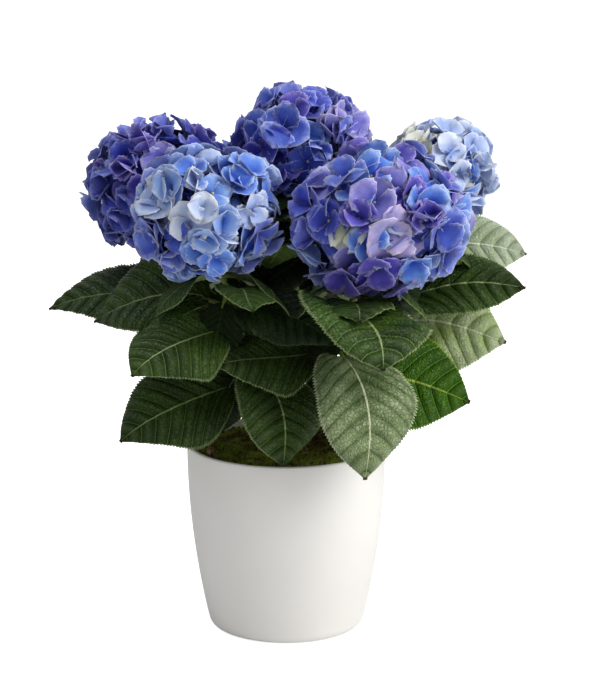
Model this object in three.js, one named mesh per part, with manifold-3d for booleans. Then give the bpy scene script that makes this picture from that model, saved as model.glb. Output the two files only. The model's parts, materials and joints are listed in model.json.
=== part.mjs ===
// A mophead hydrangea in a plain white pot. A short woody trunk stands on the potting soil and forks
// into five canes. Each cane carries a leafy shoot and ends in one round flower head.
// Millimetres, +Z up. The origin is the centre of the pot's flat underside, and -Y is the front.
import * as THREE from "three";
import { mergeVertices } from "three/addons/utils/BufferGeometryUtils.js";
import Module from "manifold-3d";

const wasm = await Module();
wasm.setup();

const gap = 0.3; // clearance wherever two pieces meet

const pot = { rimRadius: 80, baseRadius: 61.5, height: 152, wall: 3.2, floor: 5, corner: 7, sides: 36 };
const soil = { top: 146.5, edgeDrop: 2, play: 0.4, mound: 1.7, flatRadius: 26, rings: 6, sides: 24 };
const soilWaves = { length: 8, width: 9.5, phase: 1.3, fineLength: 6.5, fineShare: 0.5 };
const trunk = {
  footRadius: 19,
  neckRadius: 12.5,
  height: 19.5,
  flare: 7,
  lobes: 5,
  lobeDepth: 0.12,
  sides: 20,
};

// A cane bows outwards as it climbs, and its leafy part starts at the share `shoot` of its curve.
const cane = {
  startRadius: 3.7,
  shootRadius: 3.3,
  tipRadius: 2.3,
  shoot: 0.26,
  stalkEnd: 0.98, // where the flower stalk ends, inside the head
  sides: 6,
  steps: 3,
  shootSteps: 6,
};
const bow = { out: 0.55, rise: 0.34 };

const leafForm = {
  petiole: 0.17, // bare stalk, as a share of the leaf's length
  petioleRadius: 1.6,
  petioleSides: 4,
  petioleSink: 0.06, // how far the stalk runs on under the blade
  breadth: 0.74, // blade width over blade length
  smallestHalf: 1, // the blade is never narrower than this at its two ends
  fold: 15, // degrees by which each half rises from the midrib
  camber: 0.12, // how much the margins turn down again, as a share of the half width
  thickness: 1.6,
  steps: 6,
};
// Half width along a blade: share^rise, times a fall to the tip, over its own peak.
const outline = { rise: 0.5, fullness: 2.2, fall: 1.1, peak: 0.545, from: 0.004, to: 0.985 };

const headForm = { flat: 0.93, core: 0.78, cover: 0.9, lean: 0.5, lift: 0.05, stalk: 6 };
const floretForm = { radius: 20, notch: 0.62, cup: 3.4, hollow: 1.5 };

// The flower heads, and the leaves that are seen from the front. A leaf grows from its cane at the
// share `at`, ends at `tip`, bends down by `droop` degrees on the way and is rolled about its midrib.
const leaf = (at, tip, droop, roll, breadth = leafForm.breadth) => ({ at, tip, droop, roll, breadth });

const canes = {
  front_left: {
    head: { centre: [-60, -62, 348], radius: 55, florets: 27, seed: 11, paint: "blue" },
    leaves: [
      leaf(0.34, [-130, -64, 168], 45, 45),
      leaf(0.42, [-2, -96, 157], 80, 5, 0.88),
      leaf(0.58, [-118, -102, 230], 66, 33, 0.76),
      leaf(0.67, [-151, -32, 257], 66, 32),
      leaf(0.7, [38, -90, 252], 35, -25),
      leaf(0.72, [-24, -116, 284], 60, 0),
    ],
  },
  front_right: {
    head: { centre: [71, -62, 343], radius: 65, florets: 34, seed: 23, paint: "lilac" },
    leaves: [
      leaf(0.36, [145, -44, 195], 25, -58, 0.82),
      leaf(0.52, [61, -116, 152], 95, 0),
      leaf(0.5, [-55, -86, 235], 20, 34),
      leaf(0.64, [73, -165, 250], 70, 0, 0.85),
      leaf(0.69, [56, -138, 281], 38, 0),
    ],
  },
  left: {
    head: { centre: [-100, 44, 350], radius: 55, florets: 27, seed: 37, paint: "violet" },
    leaves: [leaf(0.6, [-190, 10, 258], 50, 26, 0.66)],
  },
  back: {
    head: { centre: [12, 46, 384], radius: 57, florets: 28, seed: 41, paint: "violet" },
    leaves: [leaf(0.72, [-14, -36, 300], 60, 0)],
  },
  right: {
    head: { centre: [124, 50, 363], radius: 46, florets: 20, seed: 53, paint: "pale" },
    leaves: [
      leaf(0.74, [194, 40, 297], 30, -50, 0.7),
      leaf(0.56, [189, -20, 282], 22, -46, 0.6),
      leaf(0.46, [175, -12, 236], 26, -56, 0.76),
    ],
  },
};

// The sides and back are filled by a seeded rule: rows of leaf tips on the crown's outline.
const rows = {
  seed: 11,
  count: 7,
  from: 92, // degrees from the front, turning to the right
  sweep: 176,
  width: 0.8, // how wide the crown is behind, next to its depth
  levels: [
    { at: 0.34, reach: 130, tipHeight: 171 },
    { at: 0.44, reach: 146, tipHeight: 194 },
    { at: 0.54, reach: 160, tipHeight: 226 },
    { at: 0.64, reach: 174, tipHeight: 256 },
    { at: 0.73, reach: 182, tipHeight: 288 },
  ],
  // how much a leaf may depart from its row, either way or between two values
  vary: { turn: 12, at: 0.08, reach: [0.92, 1.06], tipHeight: 20, droop: [50, 80], roll: 36 },
};
const room = { leaf: 8, sameCane: 5, stem: 11, head: 7, potSide: 5, potTop: 6 };
// Points by which leaves and canes are kept apart: along and across a blade, and along a cane.
const probes = { along: 6, across: 2, rootRows: 2, cane: 18, caneStep: 0.05 };

const paint = {
  white: new THREE.MeshStandardMaterial({ color: 0xefeeea, roughness: 0.55, metalness: 0 }),
  soil: new THREE.MeshStandardMaterial({ color: 0x3a2b1c, roughness: 1, metalness: 0 }),
  bark: new THREE.MeshStandardMaterial({ color: 0x6b5436, roughness: 0.9, metalness: 0 }),
  leaf: new THREE.MeshStandardMaterial({ color: 0x274d20, roughness: 0.5, metalness: 0 }),
  violet: new THREE.MeshStandardMaterial({ color: 0x4a3fae, roughness: 0.6, metalness: 0 }),
  blue: new THREE.MeshStandardMaterial({ color: 0x5f86d8, roughness: 0.6, metalness: 0 }),
  lilac: new THREE.MeshStandardMaterial({ color: 0x6a63c8, roughness: 0.6, metalness: 0 }),
  pale: new THREE.MeshStandardMaterial({ color: 0x93a9e0, roughness: 0.6, metalness: 0 }),
};

// ---- shared helpers ----

const up = new THREE.Vector3(0, 0, 1);
const radians = THREE.MathUtils.degToRad;
const between = ([low, high], share) => low + (high - low) * share;
const vector = (place) => new THREE.Vector3(...place);

// A repeatable run of numbers from 0 to 1.
const run = { factor: 1664525, step: 1013904223, size: 2 ** 32 };

function randomFrom(seed) {
  let state = seed >>> 0;
  return () => {
    state = (Math.imul(state, run.factor) + run.step) >>> 0;
    return state / run.size;
  };
}

// A closed geometry as a solid that can be joined.
function solidOf(geometry) {
  const bare = geometry.clone();
  bare.deleteAttribute("normal");
  bare.deleteAttribute("uv");
  const merged = mergeVertices(bare);
  const mesh = new wasm.Mesh({
    numProp: 3,
    vertProperties: merged.attributes.position.array,
    triVerts: new Uint32Array(merged.index.array),
  });
  return new wasm.Manifold(mesh);
}

function geometryOf(solid) {
  const { vertProperties, triVerts } = solid.getMesh();
  const geometry = new THREE.BufferGeometry();
  geometry.setAttribute("position", new THREE.BufferAttribute(vertProperties, 3));
  geometry.setIndex(new THREE.BufferAttribute(triVerts, 1));
  geometry.computeVertexNormals();
  return geometry;
}

// Moves every corner of a geometry by a rule.
function reshape(geometry, rule) {
  const corners = geometry.attributes.position;
  const p = new THREE.Vector3();
  for (let i = 0; i < corners.count; i += 1) {
    rule(p.fromBufferAttribute(corners, i));
    corners.setXYZ(i, p.x, p.y, p.z);
  }
  return geometry;
}

const turned = (profile, sides) => new THREE.LatheGeometry(profile, sides).rotateX(Math.PI / 2);

// ---- pot, soil and trunk ----

function potRadius(z) {
  return pot.baseRadius + (pot.rimRadius - pot.baseRadius) * (1 - (1 - z / pot.height) ** 2);
}

const innerRadius = (z) => potRadius(z) - pot.wall;

function potGeometry() {
  const foot = new THREE.Path();
  foot.lineTo(pot.baseRadius - pot.corner, 0);
  foot.quadraticCurveTo(pot.baseRadius, 0, potRadius(pot.corner), pot.corner);
  const profile = foot.getPoints(3);
  const rimCentre = pot.height - pot.wall / 2;
  const wallSteps = 4;
  const rimSteps = 3;
  for (let i = 1; i <= wallSteps; i += 1) {
    const z = pot.corner + ((rimCentre - pot.corner) * i) / wallSteps;
    profile.push(new THREE.Vector2(potRadius(z), z));
  }
  const rimMiddle = potRadius(rimCentre) - pot.wall / 2;
  for (let i = 1; i < rimSteps; i += 1) {
    const a = (Math.PI * i) / rimSteps;
    const across = (Math.cos(a) * pot.wall) / 2;
    profile.push(new THREE.Vector2(rimMiddle + across, rimCentre + (Math.sin(a) * pot.wall) / 2));
  }
  for (let i = wallSteps; i >= 0; i -= 1) {
    const z = pot.floor + ((rimCentre - pot.floor) * i) / wallSteps;
    profile.push(new THREE.Vector2(innerRadius(z), z));
  }
  profile.push(new THREE.Vector2(0, pot.floor));
  return turned(profile, pot.sides);
}

function soilRelief(x, y) {
  const broad = Math.sin(x / soilWaves.length + soilWaves.phase) * Math.cos(y / soilWaves.width);
  return broad + soilWaves.fineShare * Math.sin((x + 2 * y) / soilWaves.fineLength);
}

// The soil fills the pot to just below its rim, uneven on top and flat where the trunk stands.
function soilGeometry() {
  const bottom = pot.floor + gap;
  const edge = soil.top - soil.edgeDrop;
  const wallSteps = 4;
  const profile = [new THREE.Vector2(0, bottom)];
  for (let i = 0; i <= wallSteps; i += 1) {
    const z = bottom + ((edge - bottom) * i) / wallSteps;
    profile.push(new THREE.Vector2(innerRadius(z) - gap - soil.play, z));
  }
  const edgeRadius = profile[profile.length - 1].x;
  for (let i = soil.rings - 1; i >= 0; i -= 1) {
    const share = i / soil.rings;
    profile.push(new THREE.Vector2(edgeRadius * share, soil.top - soil.edgeDrop * share ** 4));
  }
  return reshape(turned(profile, soil.sides), (p) => {
    const r = Math.hypot(p.x, p.y);
    const onTop = p.z > edge + gap && r > soil.flatRadius;
    if (onTop) p.z += soil.mound * soilRelief(p.x, p.y);
  });
}

const trunkFoot = soil.top + gap;
const fork = new THREE.Vector3(0, 0, trunkFoot + trunk.height - trunk.neckRadius);

// The trunk: a lobed root flare on a flat cut, and a dome where the canes part.
function trunkGeometry() {
  const profile = [new THREE.Vector2(0, trunkFoot), new THREE.Vector2(trunk.footRadius, trunkFoot)];
  const flareSteps = 3;
  const domeSteps = 4;
  for (let i = 1; i <= flareSteps; i += 1) {
    const share = i / flareSteps;
    const r = trunk.neckRadius + (trunk.footRadius - trunk.neckRadius) * (1 - share) ** 2;
    profile.push(new THREE.Vector2(r, trunkFoot + trunk.flare * share));
  }
  for (let i = 0; i < domeSteps; i += 1) {
    const a = (Math.PI / 2) * (i / domeSteps);
    profile.push(new THREE.Vector2(trunk.neckRadius * Math.cos(a), fork.z + trunk.neckRadius * Math.sin(a)));
  }
  profile.push(new THREE.Vector2(0, fork.z + trunk.neckRadius));
  return reshape(turned(profile, trunk.sides), (p) => {
    const flare = Math.max(0, 1 - (p.z - trunkFoot) / (fork.z - trunkFoot));
    const lobe = 1 + trunk.lobeDepth * flare * Math.cos(trunk.lobes * Math.atan2(p.y, p.x));
    p.x *= lobe;
    p.y *= lobe;
  });
}

// ---- canes ----

function caneCurve(centre) {
  const pull = new THREE.Vector3(
    centre.x * bow.out,
    centre.y * bow.out,
    fork.z + (centre.z - fork.z) * bow.rise,
  );
  return new THREE.QuadraticBezierCurve3(fork, pull, centre);
}

// A tapering round limb along a stretch of a curve.
function limb(curve, from, to, startRadius, endRadius, sides, steps) {
  const rod = new THREE.CylinderGeometry(1, 1, 1, sides, steps);
  return reshape(rod, (p) => {
    const share = p.y + 0.5;
    const t = from + (to - from) * share;
    const radius = startRadius + (endRadius - startRadius) * share;
    const along = curve.getTangent(t);
    const across = new THREE.Vector3(1, 0, 0).addScaledVector(along, -along.x).normalize();
    const face = across.clone().cross(along);
    const [a, b] = [p.x * radius, p.z * radius];
    p.copy(curve.getPoint(t)).addScaledVector(across, a).addScaledVector(face, b);
  });
}

// The share of a curve at which it crosses the given distance from a point.
function shareAt(curve, point, distance, near, far) {
  let [inside, outside] = [near, far];
  const halvings = 30;
  for (let i = 0; i < halvings; i += 1) {
    const middle = (inside + outside) / 2;
    if (curve.getPoint(middle).distanceTo(point) < distance) inside = middle;
    else outside = middle;
  }
  return inside;
}

// The share that lies one clearance further along a curve.
const shareAfter = (curve, t) => shareAt(curve, curve.getPoint(t), gap, t, 1);

// ---- leaves ----

// Half width of a blade along its length: broad below the middle, drawn out to a point.
function bladeOutline(share) {
  const s = Math.min(Math.max(share, outline.from), outline.to);
  return (s ** outline.rise * (1 - s ** outline.fullness) ** outline.fall) / outline.peak;
}

// The midrib is an arc in an upright plane through the root and the tip.
function midrib(root, shape) {
  const way = vector(shape.tip).sub(root);
  const level = Math.hypot(way.x, way.y);
  const out = new THREE.Vector3(way.x / level, way.y / level, 0);
  const half = radians(shape.droop) / 2;
  const rise = Math.atan2(way.z, level) + half;
  const length = (way.length() * half) / Math.sin(half);
  const bend = (2 * half) / length;
  const roll = radians(shape.roll);
  const side = new THREE.Vector3(out.y, -out.x, 0);
  const at = (distance) => {
    const angle = rise - bend * distance;
    const along = out.clone().multiplyScalar(Math.cos(angle)).addScaledVector(up, Math.sin(angle));
    const flatFace = side.clone().cross(along);
    return {
      point: root
        .clone()
        .addScaledVector(out, (Math.sin(rise) - Math.sin(angle)) / bend)
        .addScaledVector(up, (Math.cos(angle) - Math.cos(rise)) / bend),
      across: side.clone().multiplyScalar(Math.cos(roll)).addScaledVector(flatFace, Math.sin(roll)),
      face: flatFace.clone().multiplyScalar(Math.cos(roll)).addScaledVector(side, -Math.sin(roll)),
    };
  };
  return { at, length };
}

// A place on the blade: `share` of the way from its base to its tip, `x` from -1 to 1 across it.
function onBlade(rib, shape, share, x, above) {
  const stalk = rib.length * leafForm.petiole;
  const bladeLength = rib.length - stalk;
  const halfWidth = Math.max((bladeLength * shape.breadth * bladeOutline(share)) / 2, leafForm.smallestHalf);
  const fold = Math.sin(radians(leafForm.fold));
  const height = halfWidth * (fold * Math.abs(x) - leafForm.camber * x * x) + above;
  const { point, across, face } = rib.at(stalk + bladeLength * share);
  return point.addScaledVector(across, halfWidth * x).addScaledVector(face, height);
}

function bladeGeometry(rib, shape) {
  const slab = new THREE.BoxGeometry(2, 1, leafForm.thickness, 2, leafForm.steps, 1);
  return reshape(slab, (p) => p.copy(onBlade(rib, shape, p.y + 0.5, p.x, p.z)));
}

// The leaf stalk, from the middle of the cane to a little way under the blade.
function petioleGeometry(rib) {
  const reach = rib.length * (leafForm.petiole + leafForm.petioleSink);
  const rod = new THREE.CylinderGeometry(1, 1, 1, leafForm.petioleSides, 1);
  return reshape(rod, (p) => {
    const { point, across, face } = rib.at(reach * (p.y + 0.5));
    const [a, b] = [p.x * leafForm.petioleRadius, p.z * leafForm.petioleRadius];
    p.copy(point).addScaledVector(across, a).addScaledVector(face, b);
  });
}

// Points spread over a blade, by which leaves are kept clear of everything else.
function bladePoints(root, shape) {
  const rib = midrib(root, shape);
  const points = [];
  for (let i = 0; i <= probes.along; i += 1) {
    for (let j = -probes.across; j <= probes.across; j += 1) {
      points.push(onBlade(rib, shape, i / probes.along, j / probes.across, 0));
    }
  }
  return points;
}

// Leaves of one cane meet at their stalks, so only what lies beyond the first rows is compared.
const outerPoints = (points) => points.slice(probes.rootRows * (2 * probes.across + 1));

const nearest = (some, others) => Math.min(...some.flatMap((p) => others.map((q) => p.distanceTo(q))));

function clearOfHeads(points) {
  return Object.values(canes).every(({ head }) =>
    points.every((p) => {
      const way = p.clone().sub(vector(head.centre));
      way.z /= headForm.flat;
      return way.length() > head.radius + room.head;
    }),
  );
}

function clearOfPot(points) {
  return points.every((p) => {
    const r = Math.hypot(p.x, p.y);
    return r > pot.rimRadius + room.potSide || p.z > pot.height + room.potTop;
  });
}

// The cane whose head stands nearest to a direction.
function caneFacing(turn) {
  const off = ([, { head }]) => {
    const heading = Math.atan2(head.centre[0], -head.centre[1]);
    return Math.acos(Math.cos(heading - turn));
  };
  return Object.entries(canes).sort((a, b) => off(a) - off(b))[0][0];
}

// Fills the sides and back. A leaf that would come too near anything that has grown is skipped.
function growRows() {
  const random = randomFrom(rows.seed);
  const grown = [];
  const stems = [];
  for (const [name, { head, leaves }] of Object.entries(canes)) {
    const curve = caneCurve(vector(head.centre));
    for (const shape of leaves) grown.push({ name, points: bladePoints(curve.getPoint(shape.at), shape) });
    const points = [];
    for (let i = 1; i <= probes.cane + 1; i += 1) points.push(curve.getPoint(i * probes.caneStep));
    stems.push({ name, points });
  }
  const { vary } = rows;
  const step = rows.sweep / (rows.count - 0.5);
  rows.levels.forEach((level, row) => {
    for (let i = 0; i < rows.count; i += 1) {
      const turn = radians(rows.from + (i + 0.5 * (row % 2)) * step + (random() - 0.5) * vary.turn);
      const at = level.at + (random() - 0.5) * vary.at;
      const reach = level.reach * between(vary.reach, random());
      const height = level.tipHeight + (random() - 0.5) * vary.tipHeight;
      const droop = between(vary.droop, random());
      const roll = (random() - 0.5) * vary.roll;
      const tip = [reach * rows.width * Math.sin(turn), -reach * Math.cos(turn), height];
      const shape = leaf(at, tip, droop, roll);
      const name = caneFacing(turn);
      const points = bladePoints(caneCurve(vector(canes[name].head.centre)).getPoint(at), shape);
      const outer = outerPoints(points);
      const clearOfLeaves = grown.every((other) =>
        other.name === name
          ? nearest(outer, outerPoints(other.points)) > room.sameCane
          : nearest(points, other.points) > room.leaf,
      );
      const clearOfStems = stems.every(
        (stem) => stem.name === name || nearest(points, stem.points) > room.stem,
      );
      if (clearOfLeaves && clearOfStems && clearOfHeads(points) && clearOfPot(points)) {
        canes[name].leaves.push(shape);
        grown.push({ name, points });
      }
    }
  });
}

// A leafy shoot: the upper cane with its leaves joined on, each stalk sunk to the cane's middle.
function shootSolid(curve, from, to, leaves) {
  let solid = solidOf(limb(curve, from, to, cane.shootRadius, cane.tipRadius, cane.sides, cane.shootSteps));
  for (const shape of leaves) {
    const rib = midrib(curve.getPoint(shape.at), shape);
    solid = solid.add(solidOf(petioleGeometry(rib))).add(solidOf(bladeGeometry(rib, shape)));
  }
  return solid;
}

// ---- flower heads ----

const goldenAngle = Math.PI * (3 - Math.sqrt(5));

// One floret: a shallow four-pointed cup whose stalk narrows into the head's core.
function floretGeometry(head, index, random) {
  const level = 1 - ((2 * index + 1) / head.florets) * headForm.cover;
  const ring = Math.sqrt(1 - level * level);
  const angle = index * goldenAngle + head.seed;
  const out = new THREE.Vector3(ring * Math.cos(angle), ring * Math.sin(angle), level);
  const lift = 1 + headForm.lift * (random() - 0.5);
  const spin = random() * Math.PI;
  const lean = new THREE.Vector3(random() - 0.5, random() - 0.5, random() - 0.5);
  const facing = out.clone().addScaledVector(lean, headForm.lean).normalize();
  const pose = new THREE.Quaternion().setFromUnitVectors(up, facing);
  pose.multiply(new THREE.Quaternion().setFromAxisAngle(up, spin));
  const place = out.clone().multiplyScalar(head.radius * lift);
  place.z *= headForm.flat;
  place.add(vector(head.centre));
  const depth = head.radius * (1 - headForm.core) + headForm.stalk;
  const corners = 8; // four tips and four notches, by turns
  const cornerAngle = (2 * Math.PI) / corners;
  return reshape(new THREE.ConeGeometry(1, 1, corners, 1), (p) => {
    const corner = Math.round(Math.atan2(p.x, p.z) / cornerAngle);
    const onRim = Math.hypot(p.x, p.z) > 0.5;
    if (p.y > 0) p.set(0, 0, -depth);
    else if (!onRim) p.set(0, 0, -floretForm.cup);
    else {
      const isTip = corner % 2 === 0;
      const r = floretForm.radius * (isTip ? 1 : floretForm.notch);
      const a = corner * cornerAngle;
      p.set(r * Math.sin(a), r * Math.cos(a), isTip ? -floretForm.hollow : 0);
    }
    p.applyQuaternion(pose).add(place);
  });
}

// True if a floret would reach past the plane midway to another head.
function leavesItsSpace(name, floret) {
  const { head } = canes[name];
  const centre = vector(head.centre);
  const corners = floret.attributes.position;
  return Object.entries(canes).some(([otherName, { head: other }]) => {
    if (otherName === name) return false;
    const way = vector(other.centre).sub(centre);
    const limit = (way.length() * head.radius) / (head.radius + other.radius) - gap;
    way.normalize();
    for (let i = 0; i < corners.count; i += 1) {
      const p = new THREE.Vector3().fromBufferAttribute(corners, i).sub(centre);
      if (p.dot(way) > limit) return true;
    }
    return false;
  });
}

function headSolid(name, curve, from) {
  const { head } = canes[name];
  const core = new THREE.IcosahedronGeometry(head.radius * headForm.core, 1);
  let solid = solidOf(core.scale(1, 1, headForm.flat).translate(...head.centre));
  const stalk = limb(curve, from, cane.stalkEnd, cane.tipRadius, cane.tipRadius, cane.sides, cane.steps);
  solid = solid.add(solidOf(stalk));
  const random = randomFrom(head.seed);
  for (let i = 0; i < head.florets; i += 1) {
    const floret = floretGeometry(head, i, random);
    if (!leavesItsSpace(name, floret)) solid = solid.add(solidOf(floret));
  }
  return solid;
}

// ---- assembly ----

const plant = new THREE.Group();
plant.name = "potted_hydrangea";

function place(name, geometry, material) {
  const mesh = new THREE.Mesh(geometry, material);
  mesh.name = name;
  plant.add(mesh);
}

place("pot", potGeometry(), paint.white);
place("soil", soilGeometry(), paint.soil);
place("trunk", trunkGeometry(), paint.bark);

growRows();
for (const [name, { head, leaves }] of Object.entries(canes)) {
  const centre = vector(head.centre);
  const curve = caneCurve(centre);
  const start = shareAt(curve, fork, trunk.neckRadius + gap, 0, 1);
  const shootStart = shareAfter(curve, cane.shoot);
  const shootEnd = shareAt(curve, centre, head.radius * headForm.flat, 1, 0);
  const stalkStart = shareAfter(curve, shootEnd);
  const { startRadius, shootRadius, sides, steps } = cane;
  const caneSolid = limb(curve, start, cane.shoot, startRadius, shootRadius, sides, steps);
  place(`cane_${name}`, caneSolid, paint.bark);
  place(`leaves_${name}`, geometryOf(shootSolid(curve, shootStart, shootEnd, leaves)), paint.leaf);
  place(`bloom_${name}`, geometryOf(headSolid(name, curve, stalkStart)), paint[head.paint]);
}

export default plant;
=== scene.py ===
# The looks of the potted mophead hydrangea: a white pot, mossy soil, a short woody trunk with five
# canes, quilted leaves, and five round heads of four-sepalled florets.
# Sizes in the dictionaries are millimetres. Meshes are made in metres, in the frame's own place.
import json
import math

import bpy
import numpy as np
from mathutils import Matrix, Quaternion, Vector

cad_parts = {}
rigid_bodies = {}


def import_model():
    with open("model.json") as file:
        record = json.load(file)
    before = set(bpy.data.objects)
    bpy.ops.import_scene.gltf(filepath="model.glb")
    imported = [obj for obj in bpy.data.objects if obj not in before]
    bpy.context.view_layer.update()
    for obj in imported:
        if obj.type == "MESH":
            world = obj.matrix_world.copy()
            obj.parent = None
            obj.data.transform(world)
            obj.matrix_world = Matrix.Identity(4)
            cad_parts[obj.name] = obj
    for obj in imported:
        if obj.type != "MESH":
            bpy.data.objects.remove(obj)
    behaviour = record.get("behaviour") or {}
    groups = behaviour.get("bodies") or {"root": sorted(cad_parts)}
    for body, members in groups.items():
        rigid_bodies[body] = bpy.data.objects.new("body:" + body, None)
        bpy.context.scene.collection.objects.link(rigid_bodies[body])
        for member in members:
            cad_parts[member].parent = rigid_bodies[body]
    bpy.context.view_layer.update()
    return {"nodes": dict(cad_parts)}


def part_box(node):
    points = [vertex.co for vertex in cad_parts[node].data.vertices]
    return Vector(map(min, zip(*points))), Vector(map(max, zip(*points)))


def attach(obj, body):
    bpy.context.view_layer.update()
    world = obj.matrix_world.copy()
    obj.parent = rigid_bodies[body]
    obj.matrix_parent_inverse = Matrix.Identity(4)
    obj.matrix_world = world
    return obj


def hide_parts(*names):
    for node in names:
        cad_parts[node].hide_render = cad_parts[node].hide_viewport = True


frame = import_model()
print("frame loaded:", len(frame["nodes"]), "nodes")

mm = 0.001
upward = Vector((0, 0, 1))
pointData = {"turn": "QUATERNION", "variant": "INT", "size": "FLOAT"}  # what a loose point can carry

# ---- shared helpers ----


def linear(hexCode):  # a plain colour such as "5a56c4", as the shader wants it
    parts = [int(hexCode[i : i + 2], 16) / 255 for i in (0, 2, 4)]
    return [c / 12.92 if c <= 0.04045 else ((c + 0.055) / 1.055) ** 2.4 for c in parts] + [1.0]


def unit(v):
    return v / np.linalg.norm(v, axis=-1, keepdims=True)


def smooth(low, high, value):
    t = np.clip((value - low) / (high - low), 0, 1)
    return t * t * (3 - 2 * t)


def between(span, share):
    return span[0] + (span[1] - span[0]) * share


def ripples(seed, *coords):  # seeded rolling noise from -1 to 1 over any coordinates
    coords, waves = np.stack(np.broadcast_arrays(*coords), -1), 9
    draw = np.random.default_rng(seed)
    total = 0
    for _ in range(waves):
        way = draw.normal(size=coords.shape[-1])
        total = total + np.sin(coords @ way + draw.uniform(0, 2 * math.pi))
    return total / math.sqrt(waves * 2)


def linked(name, data):  # a new object in the scene
    made = bpy.data.objects.new(name, data)
    bpy.context.scene.collection.objects.link(made)
    return made


def meshObject(name, points, faces, uv=None, rim=(), materials=(), materialIndex=None):
    mesh = bpy.data.meshes.new(name)
    mesh.from_pydata((points * mm).tolist(), [], faces)
    corners = np.zeros(len(mesh.loops), int)
    mesh.loops.foreach_get("vertex_index", corners)
    rim = np.asarray(rim, int)
    if len(rim):  # a rim face takes its pattern from the upper edge alone
        starts = np.zeros(len(mesh.polygons), int)
        mesh.polygons.foreach_get("loop_start", starts)
        corners[starts[rim] + 2] = corners[starts[rim] + 1]
        corners[starts[rim] + 3] = corners[starts[rim]]
    for uvName, values in (uv or {}).items():
        layer = mesh.uv_layers.new(name=uvName)
        layer.data.foreach_set("uv", values[corners].astype(np.float32).ravel())
    smoothFaces = np.ones(len(mesh.polygons), bool)
    smoothFaces[rim] = False
    mesh.polygons.foreach_set("use_smooth", smoothFaces)
    for material in materials:
        mesh.materials.append(material)
    if materialIndex is not None:
        mesh.polygons.foreach_set("material_index", materialIndex)
    mesh.update()
    return linked(name, mesh)


def loose(name, places, edges=(), **attributes):  # points or edges that a tree puts shapes on
    mesh = bpy.data.meshes.new(name)
    mesh.from_pydata((np.asarray(places) * mm).tolist(), list(edges), [])
    for key, values in attributes.items():
        layer = mesh.attributes.new(key, pointData[key], "POINT")
        layer.data.foreach_set("value", np.asarray(values).ravel())
    return linked(name, mesh)


def settle(piece, slotName, *nodes):  # rides the one body and stands for its nodes
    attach(piece, "root")
    if nodes:
        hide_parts(*nodes)
    return piece


def grid(rows, columns, first=0, closed=False, flip=False):  # quads over a grid of points
    faces = []
    for i in range(rows - 1):
        for j in range(columns if closed else columns - 1):
            k = (j + 1) % columns
            a, b = first + i * columns + j, first + i * columns + k
            c, d = first + (i + 1) * columns + k, first + (i + 1) * columns + j
            faces.append((a, d, c, b) if flip else (a, b, c, d))
    return faces


def sheet(rows, columns, first=0):  # a closed thin sheet: the faces of its top, underside and rim
    count = rows * columns
    ring = [i * columns for i in range(rows)] + [count - columns + j for j in range(1, columns)]
    ring += [(i + 1) * columns - 1 for i in range(rows - 2, -1, -1)] + list(range(columns - 2, 0, -1))
    ring = [first + i for i in ring]
    rim = [(a, b, b + count, a + count) for a, b in zip(ring, ring[1:] + ring[:1])]
    return grid(rows, columns, first), grid(rows, columns, first + count, flip=True), rim


def capped(rings, start, end, flip=False):  # a skin over rings of points, closed to a point at each end
    rows, sides = rings.shape[:2]
    faces = grid(rows, sides, closed=True, flip=flip)
    foot, top = rows * sides, (rows - 1) * sides
    pairs = [(j, (j + 1) % sides) if flip else ((j + 1) % sides, j) for j in range(sides)]
    faces += [(foot, a, b) for a, b in pairs] + [(foot + 1, top + b, top + a) for a, b in pairs]
    return np.vstack([rings.reshape(-1, 3), start, end]), faces


def turned(radius, height, sides):  # rings of points round the upright axis
    angle = np.linspace(0, 2 * math.pi, sides, endpoint=False)
    return np.stack(np.broadcast_arrays(radius * np.cos(angle), radius * np.sin(angle), height), -1)


def tube(path, radii, sides, relief=None):  # a closed round rod along a path
    path, reach = np.asarray(path, float), np.asarray(radii, float)[:, None]
    along = unit(np.gradient(path, axis=0))
    across = unit(np.cross(along, [0.13, 0.99, 0.05]))  # a way that no limb here points
    face = np.cross(across, along)
    angle = np.linspace(0, 2 * math.pi, sides, endpoint=False)
    ring = across[:, None] * np.cos(angle)[:, None] + face[:, None] * np.sin(angle)[:, None]
    if relief:
        reach = reach * relief(np.linspace(0, 1, len(path))[:, None], angle[None])
    return capped(path[:, None] + ring * reach[..., None], path[0], path[-1], flip=True)


# ---- node helpers, for materials and geometry alike ----


def feed(tree, socket, value):
    if isinstance(value, bpy.types.NodeSocket):
        tree.links.new(value, socket)
    elif value is not None:
        socket.default_value = value


def node(tree, kind, inputs=None, output=0, **settings):
    made = tree.nodes.new(kind)
    for key, value in settings.items():
        setattr(made, key, value)
    for key, value in (inputs or {}).items():
        feed(tree, made.inputs[key], value)
    return made.outputs[output]


def calc(tree, operation, *values):
    return node(tree, "ShaderNodeMath", dict(enumerate(values)), operation=operation)


def times(tree, one, other):
    return calc(tree, "MULTIPLY", one, other)


def ramp(tree, value, low, high, start=0.0, end=1.0):
    inputs = {"Value": value, "From Min": low, "From Max": high, "To Min": start, "To Max": end}
    return node(tree, "ShaderNodeMapRange", inputs, interpolation_type="SMOOTHSTEP")


def painted(tree, tone, *layers):  # lays colours over a plain one, each by its share, the last on top
    tone = linear(tone)
    for share, colour in layers:
        inputs = {0: share, 6: tone, 7: linear(colour)}
        tone = node(tree, "ShaderNodeMix", inputs, 2, data_type="RGBA")
    return tone


def noise(tree, place, scale, detail=3.0, roughness=0.5):  # the scale is one number or three
    if isinstance(scale, tuple):
        place, scale = node(tree, "ShaderNodeMapping", {"Vector": place, "Scale": scale}), 1.0
    inputs = {"Vector": place, "Scale": scale, "Detail": detail, "Roughness": roughness}
    return node(tree, "ShaderNodeTexNoise", inputs)


def bumped(tree, height, strength, distance, onto=None):
    inputs = {"Height": height, "Strength": strength, "Distance": distance, "Normal": onto}
    return node(tree, "ShaderNodeBump", inputs)


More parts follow.
